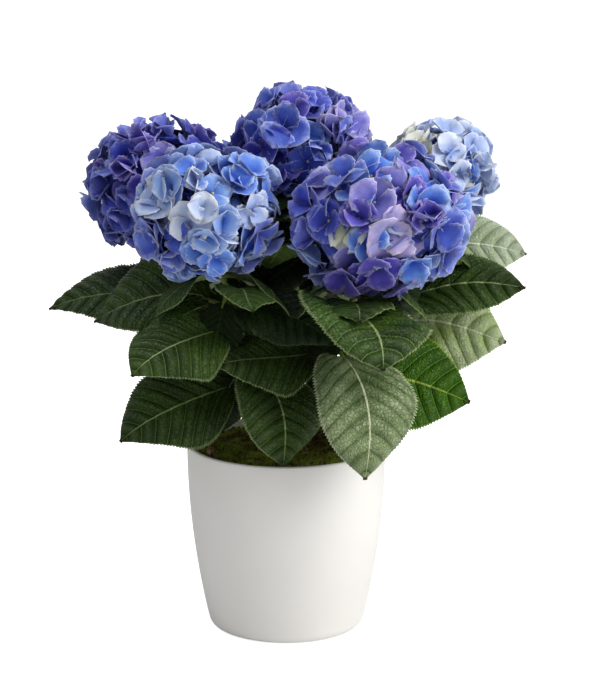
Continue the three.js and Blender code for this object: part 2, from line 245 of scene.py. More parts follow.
def objectPlace(tree):
    return node(tree, "ShaderNodeTexCoord", output="Object")


def uvPlace(tree, uvName):  # a piece's own map, and its two parts
    uv = node(tree, "ShaderNodeUVMap", uv_map=uvName)
    return uv, *(node(tree, "ShaderNodeSeparateXYZ", {0: uv}, part) for part in (0, 1))


def newMaterial(name, roughness, specular=0.5):
    material = bpy.data.materials.new(name)
    material.use_nodes = True
    shader = material.node_tree.nodes["Principled BSDF"]
    shader.inputs["Roughness"].default_value = roughness
    shader.inputs["Specular IOR Level"].default_value = specular
    return material, material.node_tree, shader.inputs


def plainRough(name, colour, second, scale, roughness=0.9):  # a dull colour, mottled with a second one
    material, tree, shader = newMaterial(name, roughness, 0.25)
    cloud = ramp(tree, noise(tree, objectPlace(tree), scale, 3), 0.35, 0.65)
    feed(tree, shader["Base Color"], painted(tree, colour, (cloud, second)))
    return material


def newTree(name, **sockets):
    tree = bpy.data.node_groups.new(name, "GeometryNodeTree")
    tree.is_modifier = True
    for label, kind in {"Geometry": "Geometry", **sockets}.items():
        label = label.replace("_", " ")
        tree.interface.new_socket(label, in_out="INPUT", socket_type="NodeSocket" + kind)
    tree.interface.new_socket("Geometry", in_out="OUTPUT", socket_type="NodeSocketGeometry")
    return tree, tree.nodes.new("NodeGroupInput").outputs


def endTree(tree, geometry, material):  # every tree ends in real faces with their material
    real = node(tree, "GeometryNodeRealizeInstances", {"Geometry": geometry})
    dressed = node(tree, "GeometryNodeSetMaterial", {"Geometry": real, "Material": material})
    tree.links.new(dressed, tree.nodes.new("NodeGroupOutput").inputs[0])
    return tree


def pointValue(tree, label):  # what each loose point carries under this name
    return node(tree, "GeometryNodeInputNamedAttribute", {"Name": label}, data_type=pointData[label])


def grown(name, base, tree, values):  # runs a tree on a base mesh and keeps the result as a piece
    modifier = base.modifiers.new(name, "NODES")
    modifier.node_group = tree
    for item in tree.interface.items_tree:
        if item.in_out == "INPUT" and item.name in values:
            modifier[item.identifier] = values[item.name]
    graph = bpy.context.evaluated_depsgraph_get()
    mesh = bpy.data.meshes.new_from_object(base.evaluated_get(graph))
    bpy.data.objects.remove(base)
    mesh.name = name
    kept = {layer.name for layer in mesh.uv_layers} | {"position", "sharp_face", "material_index"}
    for label in [a.name for a in mesh.attributes if not a.is_required and a.name not in kept]:
        if not label.startswith("."):
            mesh.attributes.remove(mesh.attributes[label])
    return linked(name, mesh)


# ---- the growing rule, as in the part's source ----

gap = 0.3
potForm = {"baseRadius": 61.5, "wall": 3.2, "floor": 5.0, "corner": 7.0}
potSteps = {"sides": 96, "wall": 40, "rim": 10, "foot": 9}
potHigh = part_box("pot")[1]
potHeight, rimRadius = potHigh.z / mm, potHigh.x / mm
soilForm = {"top": 146.5, "edgeDrop": 2.0, "play": 0.4, "mound": 1.7, "crumb": 0.7, "flatRadius": 26.0}
soilWaves = {"length": 8.0, "width": 9.5, "phase": 1.3, "fineLength": 6.5, "fineShare": 0.5}
trunkForm = {"footRadius": 19.0, "neckRadius": 12.5, "height": 19.5, "flare": 7.0, "lobes": 5}
caneForm = {"startRadius": 3.7, "shootRadius": 3.3, "tipRadius": 2.3, "shoot": 0.26}
bow = {"out": 0.55, "rise": 0.34}
trunkFoot = soilForm["top"] + gap
fork = np.array([0, 0, trunkFoot + trunkForm["height"] - trunkForm["neckRadius"]])

leafForm = {
    "petiole": 0.17,  # bare stalk, as a share of the leaf's length
    "petioleRadius": 1.5,
    "breadth": 0.74,  # blade width over blade length
    "fold": 15.0,  # degrees by which each half rises from the midrib
    "camber": 0.12,  # how much the margins turn down again
    "thickness": 0.8,
    "keel": 1.3,  # how far the midrib stands out below
    "veins": 7.5,
    "veinSlope": 0.3,
    "veinCurve": 0.15,
    "quilt": 2.5,  # how high the blade puffs up between its veins, on a blade of 100 mm
    "teeth": 0.036,  # this and what follows are shares of the half width
    "lobes": 0.05,
    "wave": 0.242,
    "rolled": 0.15,
    "sway": 0.2,
    "twist": 0.16,
}
# rows along a blade and columns on each side of its midrib, for near and hidden ones
blades = {"near": (99, 10), "middle": (67, 7), "young": (45, 5), "far": (37, 4)}
outlineForm = {"rise": 0.5, "fullness": 2.2, "fall": 1.1, "peak": 0.545, "from": 0.004, "to": 0.985}


def leaf(at, tip, droop, roll, tint="dark", breadth=leafForm["breadth"], fine="near"):
    shape = {"at": at, "tip": tip, "droop": droop, "roll": roll, "breadth": breadth}
    return {**shape, "tint": tint, "fine": fine}


canes = {
    "front_left": {
        "head": {"centre": [-60, -62, 348], "radius": 55, "seed": 11},
        "leaves": [
            leaf(0.34, [-130, -64, 168], 45, 45),
            leaf(0.42, [-2, -96, 157], 80, 5, "dark", 0.88),
            leaf(0.58, [-118, -102, 230], 66, 33, "mid", 0.76),
            leaf(0.67, [-151, -32, 257], 66, 32),
            # painted shade: a darker tint for this leaf behind the others
            leaf(0.7, [38, -90, 252], 35, -25, "shade"),
            leaf(0.72, [-24, -116, 284], 60, 0, "mid"),
        ],
    },
    "front_right": {
        "head": {"centre": [71, -62, 343], "radius": 65, "seed": 23},
        "leaves": [
            # painted light: this leaf's tint is a lit copy of the leaf green
            leaf(0.36, [145, -44, 195], 25, -58, "bright", 0.82),
            # painted sheen: this leaf's tint stands for the lamp's sheen on its glossy blade
            leaf(0.52, [61, -116, 152], 95, 0, "silver"),
            leaf(0.5, [-55, -86, 235], 20, 34),
            leaf(0.64, [73, -165, 250], 70, 0, "mid", 0.85),
            leaf(0.69, [56, -138, 281], 38, 0),
        ],
    },
    "left": {
        "head": {"centre": [-100, 44, 350], "radius": 55, "seed": 37},
        "leaves": [leaf(0.6, [-190, 10, 258], 50, 26, "dark", 0.66)],
    },
    "back": {
        "head": {"centre": [12, 46, 384], "radius": 57, "seed": 41},
        "leaves": [leaf(0.72, [-14, -36, 300], 60, 0, "young")],
    },
    "right": {
        "head": {"centre": [124, 50, 363], "radius": 46, "seed": 53},
        "leaves": [
            # painted sheen: the first and third leaf here take tints that stand for the lamp's sheen
            leaf(0.74, [194, 40, 297], 30, -50, "pale", 0.7),
            leaf(0.56, [189, -20, 282], 22, -46, "dark", 0.6),
            leaf(0.46, [175, -12, 236], 26, -56, "sheen", 0.76),
        ],
    },
}
headFlat = 0.93

rows = {
    "seed": 11,
    "count": 7,
    "from": 92.0,
    "sweep": 176.0,
    "width": 0.8,
    "front": 1.0,
    "levels": [(0.34, 130, 171), (0.44, 146, 194), (0.54, 160, 226), (0.64, 174, 256), (0.73, 182, 288)],
    "room": {"leaf": 8, "sameCane": 5, "stem": 11, "head": 7, "potSide": 5, "potTop": 6},
    "tints": ("mid", "dark", "dark"),
    "fine": "middle",
}
vary = {"turn": 12, "at": 0.08, "reach": (0.92, 1.06), "tipHeight": 20, "droop": (50, 80), "roll": 36}
# Finer growth inside the same reach: short leaves that close the middle of the crown, and are
# shorter still at the front, where the large leaves lie over them.
inner = {
    "seed": 5,
    "count": 14,
    "from": 0.0,
    "sweep": 360.0,
    "width": 0.9,
    "front": 0.6,
    "levels": [(0.36, 92, 184), (0.44, 106, 206), (0.54, 116, 236), (0.64, 122, 262), (0.76, 118, 292)],
    "room": {"leaf": 4, "sameCane": 2.5, "stem": 6, "head": 3, "potSide": 5, "potTop": 6},
    # most inner leaves take the darker tint that paints the shade inside the crown
    "tints": ("shade", "shade", "dark"),
    "fine": "far",
}
# Dark leaves far inside, which close the crown behind the front ones: at, tip, droop and roll. Their darker
# tint is painted shade.
deep = {
    "front_left": [
        (0.74, [-52, -60, 226], 60, 10),
        (0.52, [-92, -30, 246], 40, 50),
        (0.4, [-56, -44, 168], 50, 40),
    ],
    "front_right": [
        (0.62, [-8, -52, 262], 50, -50),
        (0.44, [22, -48, 192], 60, 0),
        (0.6, [108, -22, 282], 30, -55),
    ],
    "left": [(0.68, [-28, 8, 228], 60, -60), (0.74, [34, 10, 296], 30, -60)],
    "back": [
        (0.5, [-64, 30, 246], 30, 60),
        (0.8, [-14, -12, 286], 60, 0),
        (0.86, [-28, -4, 312], 50, -30),
        (0.87, [-8, -6, 340], 50, 0),
    ],
}


def randomFrom(seed):  # the same run of numbers from 0 to 1 as the part's source draws
    factor, step, size = 1664525, 1013904223, 2**32
    state = seed

    def draw():
        nonlocal state
        state = (state * factor + step) % size
        return state / size

    return draw


def bent(start, pull, end, t):  # points on a curve from start to end, pulled aside
    t = np.asarray(t, float)[..., None]
    return start * (1 - t) ** 2 + pull * 2 * t * (1 - t) + end * t**2


def caneCurve(centre):
    centre = np.array(centre, float)
    rise = fork[2] + (centre[2] - fork[2]) * bow["rise"]
    return fork, np.array([centre[0] * bow["out"], centre[1] * bow["out"], rise]), centre


for cane in canes.values():
    cane["curve"] = caneCurve(cane["head"]["centre"])


def potRadius(z):
    base = potForm["baseRadius"]
    return base + (rimRadius - base) * (1 - (1 - z / potHeight) ** 2)


def bladeOutline(share):
    form = outlineForm
    s = np.clip(share, form["from"], form["to"])
    return s ** form["rise"] * (1 - s ** form["fullness"]) ** form["fall"] / form["peak"]


def midrib(root, shape):  # an arc in an upright plane through the root and the tip
    way = np.array(shape["tip"], float) - root
    level = math.hypot(way[0], way[1])
    out = np.array([way[0] / level, way[1] / level, 0])
    side = np.array([out[1], -out[0], 0])
    half = math.radians(shape["droop"]) / 2
    rise = math.atan2(way[2], level) + half
    length = float(np.linalg.norm(way)) * half / math.sin(half)
    bend = 2 * half / length
    roll = math.radians(shape["roll"])

    def at(distance):
        angle = rise - bend * np.asarray(distance, float)[..., None]
        along = out * np.cos(angle) + [0, 0, 1] * np.sin(angle)
        flatFace = np.cross(side, along)
        point = root + out * (math.sin(rise) - np.sin(angle)) / bend
        point = point + [0, 0, 1] * (np.cos(angle) - math.cos(rise)) / bend
        across = side * math.cos(roll) + flatFace * math.sin(roll)
        return point, across, flatFace * math.cos(roll) - side * math.sin(roll)

    return at, length


def halfWidths(length, shape, share):
    blade = length * (1 - leafForm["petiole"])
    return np.maximum(blade * shape["breadth"] * bladeOutline(share) / 2, 1)


def onBlade(rib, shape, share, x, above):  # x runs from -1 to 1 across the blade
    at, length = rib
    half = halfWidths(length, shape, share)
    fold = math.sin(math.radians(leafForm["fold"]))
    height = half * (fold * np.abs(x) - leafForm["camber"] * x * x) + above
    stalk = length * leafForm["petiole"]
    point, across, face = at(stalk + (length - stalk) * share)
    return point + across * (half * x)[..., None] + face * height[..., None]


def bladePoints(name, shape):
    share, x = np.meshgrid(np.arange(7) / 6, np.arange(-2, 3) / 2, indexing="ij")
    root = bent(*canes[name]["curve"], shape["at"])
    return onBlade(midrib(root, shape), shape, share.ravel(), x.ravel(), 0)


def nearest(some, others):
    return np.linalg.norm(some[:, None] - others[None], axis=2).min()


def clearOfHeads(points, spare):
    for cane in canes.values():
        way = points - cane["head"]["centre"]
        way[:, 2] /= headFlat
        if np.linalg.norm(way, axis=1).min() <= cane["head"]["radius"] + spare:
            return False
    return True


def clearOfPot(points, space):
    r = np.hypot(points[:, 0], points[:, 1])
    outside = r > rimRadius + space["potSide"]
    return bool(np.all(outside | (points[:, 2] > potHeight + space["potTop"])))


def caneFacing(turn):  # the cane whose head stands nearest to a direction
    def off(name):
        x, y, _ = canes[name]["head"]["centre"]
        return math.acos(math.cos(math.atan2(x, -y) - turn))

    return min(canes, key=off)


def keepsClear(name, points, space):
    rootRows = 10  # points of a blade's first two rows, which may lie close to their own cane's leaves
    for otherName, other in grownLeaves:
        if otherName == name and nearest(points[rootRows:], other[rootRows:]) <= space["sameCane"]:
            return False
        if otherName != name and nearest(points, other) <= space["leaf"]:
            return False
    for stemName, stem in stems:
        if stemName != name and nearest(points, stem) <= space["stem"]:
            return False
    return clearOfHeads(points, space["head"]) and clearOfPot(points, space)


def growRows(plan):
    random, count = randomFrom(plan["seed"]), plan["count"]
    step = plan["sweep"] / (count - 0.5)
    for row, (height, reach, tipHeight) in enumerate(plan["levels"]):
        for i in range(count):
            shift = (random() - 0.5) * vary["turn"]
            turn = math.radians(plan["from"] + (i + 0.5 * (row % 2)) * step + shift)
            at = height + (random() - 0.5) * vary["at"]
            out = reach * between(vary["reach"], random())
            out *= plan["front"] + (1 - plan["front"]) * smooth(0.6, -0.2, math.cos(turn))
            z = tipHeight + (random() - 0.5) * vary["tipHeight"]
            droop = between(vary["droop"], random())
            roll = (random() - 0.5) * vary["roll"]
            tip = [out * plan["width"] * math.sin(turn), -out * math.cos(turn), z]
            shape = leaf(at, tip, droop, roll, plan["tints"][i % len(plan["tints"])], fine=plan["fine"])
            name = caneFacing(turn)
            points = bladePoints(name, shape)
            if keepsClear(name, points, plan["room"]):
                canes[name]["leaves"].append(shape)
                grownLeaves.append((name, points))


grownLeaves = [(name, bladePoints(name, s)) for name, cane in canes.items() for s in cane["leaves"]]
stems = [(name, bent(*cane["curve"], 0.05 + 0.05 * np.arange(19))) for name, cane in canes.items()]
growRows(rows)
sourceLeaves = len(grownLeaves)
growRows(inner)
for name, shapes in deep.items():
    canes[name]["leaves"] += [leaf(*shape, "shade", fine="far") for shape in shapes]
print("leaves from the source's rule:", sourceLeaves, "and inner leaves:", len(grownLeaves) - sourceLeaves)

# ---- pot ----

plastic = {"colour": "eeedea", "shade": "e6e4e1", "roughness": 0.48, "grain": 900.0, "grainDepth": 0.00004}


def potMaterial():
    material, tree, shader = newMaterial("matteWhitePlastic", plastic["roughness"], 0.35)
    place = objectPlace(tree)
    cloud = noise(tree, place, 14, 4)
    feed(tree, shader["Base Color"], painted(tree, plastic["colour"], (cloud, plastic["shade"])))
    wavy = bumped(tree, noise(tree, place, (18, 18, 160), 2), 0.12, 0.0002)
    grain = noise(tree, place, plastic["grain"], 2)
    feed(tree, shader["Normal"], bumped(tree, grain, 0.35, plastic["grainDepth"], wavy))
    return material


def makePot():
    wall, corner, base, floor = (potForm[key] for key in ("wall", "corner", "baseRadius", "floor"))
    rimCentre = potHeight - wall / 2
    outer = np.linspace(corner, rimCentre, potSteps["wall"])
    inside = np.linspace(rimCentre, floor + corner, potSteps["wall"])
    corners = [np.array(place) for place in ((base - corner, 0), (base, 0), (potRadius(corner), corner))]
    foot = bent(*corners, np.linspace(0, 1, potSteps["foot"])[1:])
    turn = np.linspace(0, math.pi, potSteps["rim"])[1:-1]
    middle = potRadius(rimCentre) - wall / 2
    rim = np.stack([middle + wall / 2 * np.cos(turn), rimCentre + wall / 2 * np.sin(turn)], 1)
    profile = [corners[0], *foot, *zip(potRadius(outer[1:]), outer[1:]), *rim]
    profile += [*zip(potRadius(inside) - wall, inside), (potRadius(floor) - wall - corner, floor)]
    radius, height = np.array(profile, float).T[..., None]
    points, faces = capped(turned(radius, height, potSteps["sides"]), [0, 0, 0], [0, 0, floor])
    settle(meshObject("pot_body", points, faces, materials=[potMaterial()]), "pot", "pot")


makePot()
print("pot made")

# ---- soil, crumbs and moss ----

earth = {"dark": "2c2414", "light": "6a5430", "moss": "8a9e30", "fibre": "a08240", "grit": "a08e70"}
# What lies on the soil: how many to a square metre, how large, how far they tip over, and how far
# they stay inside the wall. Crumbs and grit are sized in metres, strands by their own shape.
litter = {
    "crumbs": {"density": 24000.0, "size": 0.0014, "tilt": 3.1, "margin": 1.6},
    "grit": {"density": 5200.0, "size": 0.0009, "tilt": 3.1, "margin": 1.6},
    "fibres": {"density": 34000.0, "size": 1.0, "tilt": 1.5, "margin": 5.0},
    "moss": {"density": 200000.0, "size": 1.0, "tilt": 0.7, "margin": 5.0},
}
strand = {"length": 5.5, "radius": 0.28, "sides": 4}
everywhere = ((0.0, 0.0, 0.14), 1.0)
# where the moss is greenest: place and spread, in metres
mossSpots = {"left": ((-0.062, -0.03, 0.146), 0.03), "front": ((0.012, -0.062, 0.146), 0.032)}


def soilTop(x, y):
    r = np.hypot(x, y)
    relief = np.sin(x / soilWaves["length"] + soilWaves["phase"]) * np.cos(y / soilWaves["width"])
    relief = relief + soilWaves["fineShare"] * np.sin((x + 2 * y) / soilWaves["fineLength"])
    lift = soilForm["mound"] * relief * smooth(soilForm["flatRadius"] - 6, soilForm["flatRadius"] + 6, r)
    crumbs = ripples(3, x * 0.55, y * 0.55) + 0.7 * ripples(4, x * 1.3, y * 1.3)
    return soilForm["top"] - soilForm["edgeDrop"] * (r / rimRadius) ** 4 + lift + soilForm["crumb"] * crumbs


def soilMaterial():
    material, tree, shader = newMaterial("pottingSoil", 0.95, 0.2)
    place = objectPlace(tree)
    lumps = noise(tree, place, 260, 5, 0.65)
    green = ramp(tree, noise(tree, place, 60, 3), 0.42, 0.6, 0.0, 0.6)
    layers = [(ramp(tree, lumps, 0.35, 0.7), earth["light"]), (green, earth["moss"])]
    feed(tree, shader["Base Color"], painted(tree, earth["dark"], *layers))
    feed(tree, shader["Normal"], bumped(tree, lumps, 0.9, 0.0015))
    return material


def makeSoil():
    sides, rings, low = 120, 44, potForm["floor"] + gap
    play = potForm["wall"] + gap + soilForm["play"]
    depth = np.linspace(low, soilForm["top"] - 2 * soilForm["edgeDrop"], 8)[:, None]
    side = turned(potRadius(depth) - play, depth, sides)
    radius = np.linspace(potRadius(soilForm["top"]) - play, 0.5, rings)[:, None]
    top = turned(radius, 0.0, sides)
    top[..., 2] = soilTop(top[..., 0], top[..., 1])
    points, faces = capped(np.vstack([side, top]), [0, 0, low], [0, 0, soilForm["top"]])
    return settle(meshObject("soil_bed", points, faces, materials=[soilMaterial()]), "soil", "soil")


def ballShape():
    bpy.ops.mesh.primitive_ico_sphere_add(subdivisions=2, radius=1)
    return bpy.context.object


def crumbShape():
    shape = ballShape()
    places = np.array([v.co for v in shape.data.vertices])
    lumpy = places * (1 + 0.28 * ripples(17, *(places * 2.2).T))[:, None] * [1, 0.8, 0.62]
    shape.data.vertices.foreach_set("co", lumpy.astype(np.float32).ravel())
    return shape


def strandShape(seed):  # one bent, tapering moss strand or peat fibre, standing up
    t, length = np.linspace(0, 1, 6), strand["length"]
    swing = np.random.default_rng(seed).uniform(-0.5, 0.5, 2)
    path = np.stack([swing[0] * t**2 * length, swing[1] * t**1.5 * length, t * length * 0.8], 1)
    return meshObject(f"strand{seed}", *tube(path, strand["radius"] * (1.05 - t), strand["sides"]))


def scatterTree():  # shapes strewn over the parts of a surface that face up, near a spot
    sizes = dict(Density="Float", Size="Float", Tilt="Float", Spread="Float", Limit="Float")
    others = dict(Shape="Object", Spot="Vector", Seed="Int", Material="Material")
    tree, given = newTree("litterOnSoil", **sizes, **others)
    place = node(tree, "GeometryNodeInputPosition")
    normal = node(tree, "ShaderNodeSeparateXYZ", {0: node(tree, "GeometryNodeInputNormal")}, 2)
    away = node(tree, "ShaderNodeVectorMath", {0: place, 1: given["Spot"]}, 1, operation="DISTANCE")
    away = times(tree, away, times(tree, noise(tree, place, 60), 1.6))  # a patchy outline
    near = calc(tree, "LESS_THAN", away, given["Spread"])
    flat = node(tree, "ShaderNodeVectorMath", {0: place, 1: (1, 1, 0)}, operation="MULTIPLY")
    radius = node(tree, "ShaderNodeVectorMath", {0: flat}, 1, operation="LENGTH")
    near = times(tree, near, calc(tree, "LESS_THAN", radius, given["Limit"]))
    onTop = times(tree, calc(tree, "GREATER_THAN", normal, 0.4), near)
    inputs = {"Mesh": given["Geometry"], "Selection": onTop}
    inputs |= {label: given[label] for label in ("Density", "Seed")}
    points = node(tree, "GeometryNodeDistributePointsOnFaces", inputs, "Points")
    lean = node(tree, "ShaderNodeCombineXYZ", {0: given["Tilt"], 1: given["Tilt"], 2: math.pi})
    against = node(tree, "ShaderNodeVectorMath", {0: lean, 3: -1.0}, operation="SCALE")
    inputs = {0: against, 1: lean, 8: given["Seed"]}
    turn = node(tree, "FunctionNodeRandomValue", inputs, data_type="FLOAT_VECTOR")
    inputs = {2: times(tree, given["Size"], 0.5), 3: times(tree, given["Size"], 1.35), 8: given["Seed"]}
    size = node(tree, "FunctionNodeRandomValue", inputs, 1, data_type="FLOAT")
    shape = node(tree, "GeometryNodeObjectInfo", {"Object": given["Shape"]}, "Geometry")
    inputs = {"Points": points, "Instance": shape, "Rotation": turn, "Scale": size}
    return endTree(tree, node(tree, "GeometryNodeInstanceOnPoints", inputs), given["Material"])


def strew(name, kind, shape, seed, material, spot, spread):
    form = litter[kind]
    base = soilBed.copy()
    base.data = soilBed.data.copy()
    bpy.context.scene.collection.objects.link(base)
    limit = (potRadius(soilForm["top"]) - potForm["wall"] - form["margin"]) * mm
    values = {"Density": form["density"], "Size": form["size"], "Tilt": form["tilt"], "Limit": limit}
    values |= {"Shape": shape, "Spot": spot, "Spread": spread, "Seed": seed, "Material": material}
    settle(grown(name, base, litterOnSoil, values), "soil")


def makeLitter():
    crumb, strands = crumbShape(), [strandShape(seed) for seed in (1, 2, 3)]
    dark = plainRough("soilCrumb", earth["dark"], earth["light"], 320)
    grit = plainRough("paleGrit", earth["grit"], earth["light"], 260)
    fibre = plainRough("peatFibre", earth["fibre"], earth["dark"], 90)
    moss = plainRough("greenMoss", earth["moss"], "333d10", 120)
    strew("soil_crumbs", "crumbs", crumb, 1, dark, *everywhere)
    strew("soil_grit", "grit", crumb, 2, grit, *everywhere)
    strew("peat_fibres", "fibres", strands[0], 3, fibre, *everywhere)
    for i, side in enumerate(mossSpots):
        strew(f"moss_{side}", "moss", strands[1 + i], 4 + i, moss, *mossSpots[side])
    for shape in (crumb, *strands):
        bpy.data.objects.remove(shape)


soilBed, litterOnSoil = makeSoil(), scatterTree()
makeLitter()
print("soil and moss made")

# ---- trunk and canes ----

bark = {"dark": "3a2c1c", "light": "7d6647", "cork": "a08c68", "relief": 0.09, "lobe": 0.12, "node": 0.16}
stub = {"foot": (-57, -36, 142), "tip": (-60, -44, 158), "radius": 3.4}  # an old stem, cut short


def barkMaterial():
    material, tree, shader = newMaterial("greyBrownBark", 0.85, 0.25)
    place = objectPlace(tree)
    fissures = noise(tree, place, (520, 520, 90), 4, 0.6)
    specks = ramp(tree, noise(tree, place, 420, 1), 0.68, 0.76)
    layers = [(ramp(tree, fissures, 0.35, 0.62), bark["light"]), (specks, bark["cork"])]
    feed(tree, shader["Base Color"], painted(tree, bark["dark"], *layers))
    feed(tree, shader["Normal"], bumped(tree, fissures, 0.8, 0.0009))
    return material


def barkRelief(seed, lobes=0, nodes=0):  # fissures along a limb, a lobed foot and swollen leaf nodes
    def relief(share, angle):
        lobed = bark["lobe"] * np.clip(1 - share * 2, 0, 1) * np.cos(lobes * angle) if lobes else 0
        swell = bark["node"] * np.exp(-(((share * nodes) % 1 - 0.5) ** 2) / 0.006) if nodes else 0
        fissures = ripples(seed, np.cos(angle) * 4, np.sin(angle) * 4, share * 5)
        return 1 + bark["relief"] * fissures + lobed + swell

    return relief


def limb(name, path, radii, sides, relief, *nodes):
    points, faces = tube(path, radii, sides, relief)
    settle(meshObject(name, points, faces, materials=[barkSkin]), "bark", *nodes)


def makeTrunk():
    neck, foot, height = trunkForm["neckRadius"], trunkForm["footRadius"], trunkForm["height"]
    up = np.linspace(0, height, 26)
    spread = neck + (foot - neck) * np.clip(1 - up / trunkForm["flare"], 0, 1) ** 2
    dome = np.sqrt(np.clip(1 - np.clip((up - neck) / neck, 0, 1) ** 2, 0.002, 1))
    path = np.linspace([0, 0, trunkFoot - gap], [0, 0, trunkFoot + height], 26)
    limb("trunk_bark", path, spread * dome, 64, barkRelief(5, trunkForm["lobes"]), "trunk")


def makeCane(name):
    share = np.linspace(0, 1, 40)
    radii = between((caneForm["startRadius"], caneForm["shootRadius"]), share)
    path = bent(*canes[name]["curve"], share * caneForm["shoot"])
    relief = barkRelief(canes[name]["head"]["seed"], nodes=3)
    limb(f"bark_{name}", path, radii, 20, relief, f"cane_{name}")


def makeStub():
    path = np.linspace(stub["foot"], stub["tip"], 14)
    limb("old_stem", path, stub["radius"] * np.linspace(1.15, 0.95, 14), 18, barkRelief(3))


barkSkin = barkMaterial()
makeTrunk()
makeStub()

# ---- leaves ----

# The deep tone paints random mottling, and painted shade in the blade's hollows and crinkles; the vein tone
# paints the veins, and painted highlights on the ridges and crinkles.
foliage = {  # the blade, its hollows, its midrib and its side veins
    "dark": {"blade": "34520c", "deep": "162a04", "vein": "a4b878", "side": "6e8c40"},
    # painted shade: a darker copy of the leaf green, for leaves deep in the crown
    "shade": {"blade": "1d340e", "deep": "0e1c05", "vein": "3c5620", "side": "2c4216"},
    "mid": {"blade": "44661c", "deep": "1c3408", "vein": "b4c888", "side": "84a250"},
    # painted light: a lit copy of the leaf green, for a leaf turned to the lamp
    "bright": {"blade": "3a6c04", "deep": "1f4800", "vein": "a0bc44", "side": "84a434"},
    # painted sheen: the next three tints are lit copies of the leaf green, pale where a lamp's sheen lies on
    # a glossy blade; their side veins stay dark, painted shade in the grooves
    "silver": {"blade": "9cae80", "deep": "465c30", "vein": "dce4bc", "side": "3e522a"},
    "pale": {"blade": "ced8c0", "deep": "96a880", "vein": "eef0e2", "side": "7c9060"},
    "sheen": {"blade": "ccd8b4", "deep": "88a054", "vein": "e6ecd0", "side": "6c8840"},
    "young": {"blade": "6a8830", "deep": "425f16", "vein": "a8bc60", "side": "94ac50"},
}
underside = {"blade": "8c9c74", "deep": "6c8052", "vein": "b8c29c", "side": "aab68c"}
# cells across and along a blade, of its net of fine veins and of its crinkled skin
bladeSkin = {"net": (25, 34, 1), "crinkle": (48, 76, 1), "tip": "2a1c10", "relief": 0.7, "depth": 0.0009}
# young leaves under each head, fanned from side to side behind it
collar = {"at": 0.8, "reach": 56, "drop": 30, "count": 4, "droop": 60, "roll": 20}
collar |= {"from": 70.0, "sweep": 220.0}


def veinLines(tree, u, v):  # distance from the nearest side vein, and from the midrib, on a blade
    x = calc(tree, "ABSOLUTE", calc(tree, "MULTIPLY_ADD", u, 2.0, -1.0))
    curved = calc(tree, "MULTIPLY_ADD", x, leafForm["veinCurve"], leafForm["veinSlope"])
    narrowing = calc(tree, "SUBTRACT", 1.0, times(tree, v, v))
    slant = times(tree, times(tree, x, curved), narrowing)
    turns = times(tree, calc(tree, "SUBTRACT", v, slant), leafForm["veins"])
    return calc(tree, "PINGPONG", turns, 0.5), x


def leafMaterial(name, tones, gloss, relief):
    material, tree, shader = newMaterial(name, gloss, 0.22)
    uv, u, v = uvPlace(tree, "leafUv")
    away, x = veinLines(tree, u, v)
    place = node(tree, "ShaderNodeMapping", {"Vector": uv, "Scale": bladeSkin["net"]})
    inputs = {"Vector": place, "Scale": 1.0}
    net = ramp(tree, node(tree, "ShaderNodeTexVoronoi", inputs, feature="DISTANCE_TO_EDGE"), 0.0, 0.16)
    crinkle = noise(tree, uv, bladeSkin["crinkle"], 2)
    cloud = noise(tree, objectPlace(tree), (30, 30, 30), 4)
    valley = ramp(tree, away, 0.0, 0.16, 1.0, 0.0)
    ridgeHighlight = times(tree, ramp(tree, away, 0.15, 0.5), net)
    rib = ramp(tree, x, 0.008, 0.03, 1.0, 0.0)
    layers = [
        (ramp(tree, cloud, 0.3, 0.7), tones["deep"]),
        (ramp(tree, net, 0.0, 1.0, 0.4, 0.0), tones["deep"]),
        # painted shade and painted highlight: the dark and light speckle of the crinkled skin
        (ramp(tree, crinkle, 0.35, 0.65, 0.5, 0.0), tones["deep"]),
        (ramp(tree, crinkle, 0.5, 0.8, 0.0, 0.1), tones["vein"]),
        # painted shade in the hollows along the side veins, and painted highlight on the ridges between them
        (times(tree, valley, 0.3), tones["deep"]),
        (times(tree, ridgeHighlight, 0.12), tones["vein"]),
        (ramp(tree, away, 0.01, 0.04, 0.6, 0.0), tones["side"]),
        (times(tree, rib, 0.85), tones["vein"]),
        (ramp(tree, x, 0.955, 0.985, 0.0, 0.45), tones["vein"]),  # a pale hem
        (ramp(tree, v, 0.972, 0.992), bladeSkin["tip"]),
    ]
    feed(tree, shader["Base Color"], painted(tree, tones["blade"], *layers))
    height = calc(tree, "MULTIPLY_ADD", net, 0.8, times(tree, crinkle, 0.7))
    height = calc(tree, "MULTIPLY_ADD", valley, -1.4, height)
    height = calc(tree, "MULTIPLY_ADD", rib, 0.8, height)
    strength = bladeSkin["relief"] * relief
    feed(tree, shader["Normal"], bumped(tree, height, strength, bladeSkin["depth"]))
    return material


